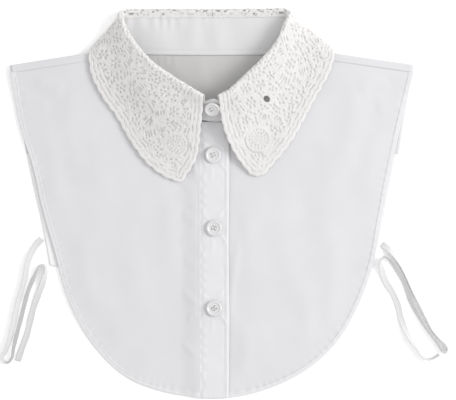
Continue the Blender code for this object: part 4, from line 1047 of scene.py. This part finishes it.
def openwork(name, upper, lower, level, finish):
    """A closed sheet with holes where level is below 0, their edges smooth between points."""
    rows, width = level.shape
    solid = level > 0
    index = np.arange(rows * width).reshape(rows, width)
    corners = [index[:-1, :-1], index[1:, :-1], index[1:, 1:], index[:-1, 1:]]
    mask = sum(bit * solid.reshape(-1)[corner].astype(int) for bit, corner in zip((1, 2, 4, 8), corners))
    points = [upper.reshape(-1, 3), lower.reshape(-1, 3)]
    flat_level = level.reshape(-1)
    top_faces, walls = [], []
    whole = mask == 15
    quads = np.stack([corner[whole] for corner in corners], 1)
    crossing, extra = {}, []

    def place(a, b):
        key = (a, b) if a < b else (b, a)
        if key not in crossing:
            share = flat_level[a] / (flat_level[a] - flat_level[b])
            share = min(max(share, 0.08), 0.92)
            crossing[key] = len(extra)
            extra.append((a, b, share))
        return rows * width + crossing[key]

    for r, c in zip(*np.nonzero((mask > 0) & (mask < 15))):
        cell = [int(corner[r, c]) for corner in corners]
        for outline in CELL_PARTS[int(mask[r, c])]:
            face = []
            for spot in outline:
                k = int(spot)
                face.append(cell[k] if spot == k else place(cell[k], cell[(k + 1) % 4]))
            top_faces.append(face)
            halves = [spot != int(spot) for spot in outline]
            for k in range(len(outline)):
                if halves[k] and halves[(k + 1) % len(outline)]:
                    walls.append((face[k], face[(k + 1) % len(outline)]))
    extra = np.array(extra, float).reshape(-1, 3)
    a, b, share = extra[:, 0].astype(int), extra[:, 1].astype(int), extra[:, 2]
    total = rows * width + len(extra)
    layers = []
    for layer in points:
        between = layer[a] + share[:, None] * (layer[b] - layer[a])
        layers.append(np.concatenate([layer, between]))
    every = [list(face) for face in quads.tolist()] + top_faces
    faces = every + [[total + k for k in reversed(face)] for face in every]
    faces += [[q, p, total + p, total + q] for p, q in walls]
    for line in (index[0], index[:, -1], index[-1, ::-1], index[::-1, 0]):
        for p, q in zip(line[:-1].tolist(), line[1:].tolist()):
            faces.append([p, q, total + q, total + p])
    normal = np.cross(upper[-1, 40] - upper[-2, 40], upper[-1, 41] - upper[-1, 40])
    if normal @ (upper[-1, 40] - lower[-1, 40]) < 0:
        faces = [face[::-1] for face in faces]
    used = np.unique(np.concatenate([np.asarray(face) for face in faces]))
    renumber = np.full(2 * total, -1)
    renumber[used] = np.arange(len(used))
    faces = [renumber[face].tolist() for face in faces]
    return add_mesh(name, np.concatenate(layers)[used], faces, finish)


# --- buttons and tapes -----------------------------------------------------------------


def button_piece(name, centre, normal, turn, pearl, thread):
    """A four-hole shirt button with a rolled rim, and its sewing thread."""
    profile = (
        (0.0, 0.02), (4.2, 0.02), (5.6, 0.3), (6.2, 0.8), (6.35, 1.2), (6.2, 1.6), (5.8, 1.9),
        (5.3, 2.0), (4.8, 1.92), (4.5, 1.72), (4.2, 1.5), (3.6, 1.42), (2.6, 1.4), (0.0, 1.4),
    )
    mesh = bpy.data.meshes.new(name)
    edges = [(k, k + 1) for k in range(len(profile) - 1)]
    mesh.from_pydata([(x * MM, 0.0, z * MM) for x, z in reversed(profile)], edges, [])
    made = bpy.data.objects.new(name, mesh)
    made.data.materials.append(pearl)
    bpy.context.scene.collection.objects.link(made)
    turned = made.modifiers.new("turned", "SCREW")
    turned.steps = turned.render_steps = 64
    turned.use_merge_vertices = True
    turned.merge_threshold = 0.00001
    cutter = bpy.data.meshes.new("holes")
    points, faces = [], []
    for hx, hy in ((-1, -1), (1, -1), (1, 1), (-1, 1)):
        base = len(points)
        for z in (-1.0, 4.0):
            for k in range(16):
                angle = 2 * math.pi * k / 16
                points.append(((1.15 * hx + 0.7 * math.cos(angle)) * MM, (1.15 * hy + 0.7 * math.sin(angle)) * MM, z * MM))
        faces.append([base + k for k in range(15, -1, -1)])
        faces.append([base + 16 + k for k in range(16)])
        faces += [[base + k, base + (k + 1) % 16, base + 16 + (k + 1) % 16, base + 16 + k] for k in range(16)]
    cutter.from_pydata(points, [], faces)
    holes = bpy.data.objects.new("holes", cutter)
    bpy.context.scene.collection.objects.link(holes)
    cut = made.modifiers.new("holes", "BOOLEAN")
    cut.operation, cut.solver, cut.object = "DIFFERENCE", "EXACT", holes
    bpy.context.view_layer.update()
    evaluated = made.evaluated_get(bpy.context.evaluated_depsgraph_get())
    final = bpy.data.meshes.new_from_object(evaluated)
    bpy.data.objects.remove(holes)
    bpy.data.objects.remove(made)
    up = Vector(normal)
    rotation = Vector((0, 0, 1)).rotation_difference(up).to_matrix().to_4x4()
    rotation = rotation @ Matrix.Rotation(turn, 4, "Z")
    rotation.translation = Vector([value * MM for value in centre])
    final.transform(rotation)
    made = bpy.data.objects.new(name, final)
    bpy.context.scene.collection.objects.link(made)
    final.shade_smooth()
    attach(made, "root")
    lines = []
    for offset in (-1.15, 1.15):
        for lift, shift in ((1.62, -0.22), (1.66, 0.22)):
            line = [(-1.3, offset + shift, 1.2), (-0.9, offset + shift, lift), (0.9, offset + shift, lift), (1.3, offset + shift, 1.2)]
            placed = [rotation @ (Vector(point) * MM) for point in line]
            lines.append(np.array([[value / MM for value in point] for point in placed]))
    thread_piece(name + "_thread", lines, 0.26, thread)
    return made


def thread_piece(name, lines, radius, finish):
    """Round threads along lines of points, joined in one mesh."""
    points, faces = [], []
    for line in lines:
        line = smooth_line(line, 9)
        run = unit(np.gradient(line, axis=0))
        side = unit(np.cross(run, (0.13, 0.29, 0.95)))
        up = np.cross(side, run)
        base = len(points)
        for k in range(len(line)):
            for turn in np.radians(np.arange(8) * 45.0):
                points.append(line[k] + radius * (math.cos(turn) * side[k] + math.sin(turn) * up[k]))
        for k in range(len(line) - 1):
            for i in range(8):
                j = (i + 1) % 8
                low, high = base + 8 * k, base + 8 * k + 8
                faces.append((low + i, high + i, high + j, low + j))
        faces.append(tuple(base + i for i in range(8)))
        faces.append(tuple(base + 8 * (len(line) - 1) + i for i in range(7, -1, -1)))
    return add_mesh(name, points, faces, finish)


def tape_frame(route, count):
    """Middle line of a tape on the table, its direction and the direction of its width."""
    route = np.asarray(route, float)
    knots = lengths_along(route[:, :2])
    fine = spline(knots, route, np.linspace(0.0, knots[-1], 40 * len(route)))
    knots = lengths_along(fine[:, :2])
    fine = read(fine, knots, np.linspace(0.0, knots[-1], count))
    tilt = np.radians(fine[:, 2])[:, None]
    height = TAPE_WIDTH / 2 * np.abs(np.sin(tilt)) + TAPE_WALL / 2
    line = np.hstack([fine[:, :2], height])
    tangent = unit(np.gradient(line, axis=0))
    level = unit(np.stack([tangent[:, 1], -tangent[:, 0], 0.0 * tangent[:, 0]], -1))
    return line, tangent, np.cos(tilt) * level + np.sin(tilt) * np.array([0.0, 0.0, 1.0])


def tape_piece(name, route, finish):
    """A flat tape with rounded, slightly raised edges."""
    line, _, across = tape_frame(route, 420)
    face = np.cross(across, unit(np.gradient(line, axis=0)))
    half = TAPE_WIDTH / 2
    section = (
        (-half, 0.0), (-half + 0.15, 0.26), (-half + 0.5, 0.36), (-half + 0.95, 0.2), (-0.6, 0.14),
        (0.6, 0.14), (half - 0.95, 0.2), (half - 0.5, 0.36), (half - 0.15, 0.26), (half, 0.0),
        (half - 0.3, -0.34), (half - 1.2, -0.2), (-half + 1.2, -0.2), (-half + 0.3, -0.34),
    )
    travelled = lengths_along(line)
    points = []
    for k in range(len(line)):
        for x, z in section:
            x = x * (1.0 + 0.04 * math.sin(0.4 * travelled[k]))
            z = z + 0.05 * math.sin(2.3 * travelled[k] + x)
            points.append(line[k] + x * across[k] + z * face[k])
    points = np.asarray(points)
    points[:, 2] = np.maximum(points[:, 2], 0.02)
    count = len(section)
    faces = []
    for k in range(len(line) - 1):
        for i in range(count):
            j = (i + 1) % count
            faces.append((count * k + i, count * k + j, count * k + count + j, count * k + count + i))
    faces.append(tuple(range(count - 1, -1, -1)))
    faces.append(tuple(count * (len(line) - 1) + i for i in range(count)))
    return add_mesh(name, points, faces, finish), line


# --- stage -----------------------------------------------------------------------------


def add_camera():
    """Straight above, far off, on the frame of 456 by 400 at 0.8 mm a pixel."""
    camera = bpy.data.cameras.new("camera")
    distance, frame_width = 2.5, 456 * 0.8 * MM
    camera.sensor_width = 36.0
    camera.lens = 36.0 * distance / frame_width
    camera.clip_end = 20.0
    made = bpy.data.objects.new("camera", camera)
    made.location = ((228 - 212) * 0.8 * MM, (203.5 - 200) * 0.8 * MM, distance)
    bpy.context.scene.collection.objects.link(made)
    bpy.context.scene.camera = made


def add_light(name, place, size, power, target=(0.0, 0.0, 0.0)):
    light = bpy.data.lights.new(name, "AREA")
    light.shape = "DISK"
    light.size = size
    light.energy = power
    made = bpy.data.objects.new(name, light)
    made.location = place
    made.rotation_euler = (Vector(target) - Vector(place)).to_track_quat("-Z", "Y").to_euler()
    bpy.context.scene.collection.objects.link(made)


def add_stage():
    mesh = bpy.data.meshes.new("floor")
    mesh.from_pydata([(-4, -4, -0.0002), (4, -4, -0.0002), (4, 4, -0.0002), (-4, 4, -0.0002)], [], [(0, 1, 2, 3)])
    floor = bpy.data.objects.new("floor", mesh)
    finish = bpy.data.materials.new("floor_white")
    finish.use_nodes = True
    shader = finish.node_tree.nodes["Principled BSDF"]
    shader.inputs["Base Color"].default_value = (0.97, 0.97, 0.97, 1.0)
    shader.inputs["Roughness"].default_value = 0.9
    shader.inputs["Specular IOR Level"].default_value = 0.1
    shader.inputs["Emission Color"].default_value = (1.0, 1.0, 1.0, 1.0)
    shader.inputs["Emission Strength"].default_value = 0.12
    mesh.materials.append(finish)
    bpy.context.scene.collection.objects.link(floor)
    add_light("key", (1.55, 0.3, 1.05), 0.9, 21.0)
    world = bpy.data.worlds.new("studio")
    world.use_nodes = True
    world.node_tree.nodes["Background"].inputs["Color"].default_value = (1.0, 1.0, 1.0, 1.0)
    world.node_tree.nodes["Background"].inputs["Strength"].default_value = 0.9
    bpy.context.scene.world = world
    bpy.context.scene.view_settings.view_transform = "Standard"


def declare_sheet(nodes):
    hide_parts(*nodes)


def main():
    add_camera()
    tape = cloth_material("tie_tape", (0.66, 0.66, 0.665), 0.8, 1400.0, 900.0, 0.0001, 0.2)
    for name, route in (("tie_left", TIE_LEFT), ("tie_right", TIE_RIGHT)):
        made, line = tape_piece(name + "_tape", route, tape)
        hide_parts(name)
    add_stage()
    cotton = cloth_material("cotton_poplin", (0.65, 0.65, 0.665), 0.85, 900.0, 620.0, 0.00006, 0.15)
    # A darker poplin for the inside of the neck: painted shade.
    inner = cloth_material("back_poplin_painted_shade", (0.53, 0.525, 0.52), 0.85, 900.0, 620.0, 0.00006, 0.15)
    # A lighter poplin for the back's side margins: painted light.
    painted_light_margin = cloth_material("margin_poplin_painted_light", (0.85, 0.85, 0.855), 0.85, 900.0, 620.0, 0.00006, 0.15)
    banded = cloth_material("band_poplin", (0.69, 0.685, 0.7), 0.85, 900.0, 620.0, 0.00006, 0.15)
    doubled = cloth_material("stand_poplin", (0.67, 0.665, 0.67), 0.85, 900.0, 620.0, 0.00006, 0.15)
    lace = cloth_material("lace_thread", (0.955, 0.942, 0.936), 0.85, 1500.0, 800.0, 0.00016, 0.2)
    thread = cloth_material("sewing_thread", (0.68, 0.68, 0.69), 0.7, 2500.0, 1500.0, 0.00005, 0.2)
    pearl = pearl_material()
    let_light_through(lace, 0.38)

    back = back_piece(cotton, inner, painted_light_margin)
    declare_sheet(["back_panel"])
    left, left_hem = front_panel("front_left_cloth", LEFT_STATIONS, LEFT_EDGE, SHOULDER_LEFT, BAND_LEFT - GAP,
                                 left_front_height, LEFT_CREASES, cotton, banded)
    declare_sheet(["front_left"])
    right, right_hem = front_panel("front_right_cloth", RIGHT_STATIONS, RIGHT_EDGE, SHOULDER_RIGHT, UNDERLAP,
                                   front_height, RIGHT_CREASES, cotton, banded)
    declare_sheet(["front_right"])
    band, band_lines = band_piece(banded)
    declare_sheet(["placket"])
    stand, stand_stitching = stand_piece(doubled)
    declare_sheet(["collar_stand"])
    for name, stations in (("lace_leaf_left", LEFT_STATIONS), ("lace_leaf_right", RIGHT_STATIONS)):
        made = lace_leaf(name + "_openwork", stations, lace)
        declare_sheet([name])
    up = np.array([0.0, 0.0, 1.0])
    hems = [(line, np.broadcast_to(up, line.shape)) for line in (left_hem, right_hem, *band_lines)]
    stitches("seam_stitches", hems + stand_stitching, thread)

    left_neck, left_top = stand_lines(LEFT_STATIONS, LEFT_STAND_END, 200)
    neck, top = left_neck[-4:], left_top[-4:]
    share = (STAND_BUTTON_X - neck[0, 0]) / (neck[1, 0] - neck[0, 0])
    foot, head = neck[0] + share * (neck[1] - neck[0]), top[0] + share * (top[1] - top[0])
    normal = unit(np.cross(neck[1] - neck[0], head - foot))
    normal = normal * np.sign(normal[2])
    seat = foot + STAND_BUTTON_SHARE * (head - foot) + (STAND_WALL / 2 + STAND_BUTTON_SHANK) * normal
    made = button_piece("button_1_pearl", seat, normal, 0.5, pearl, thread)
    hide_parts("button_1")
    for k, (x, y) in enumerate(BUTTON_PLACES):
        height = float(band_height(x, y)) + BAND_WALL + GAP
        made = button_piece(f"button_{k + 2}_pearl", (x, y, height), (0.0, 0.0, 1.0), 0.4 + 0.9 * k, pearl, thread)
        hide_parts(f"button_{k + 2}")


main()
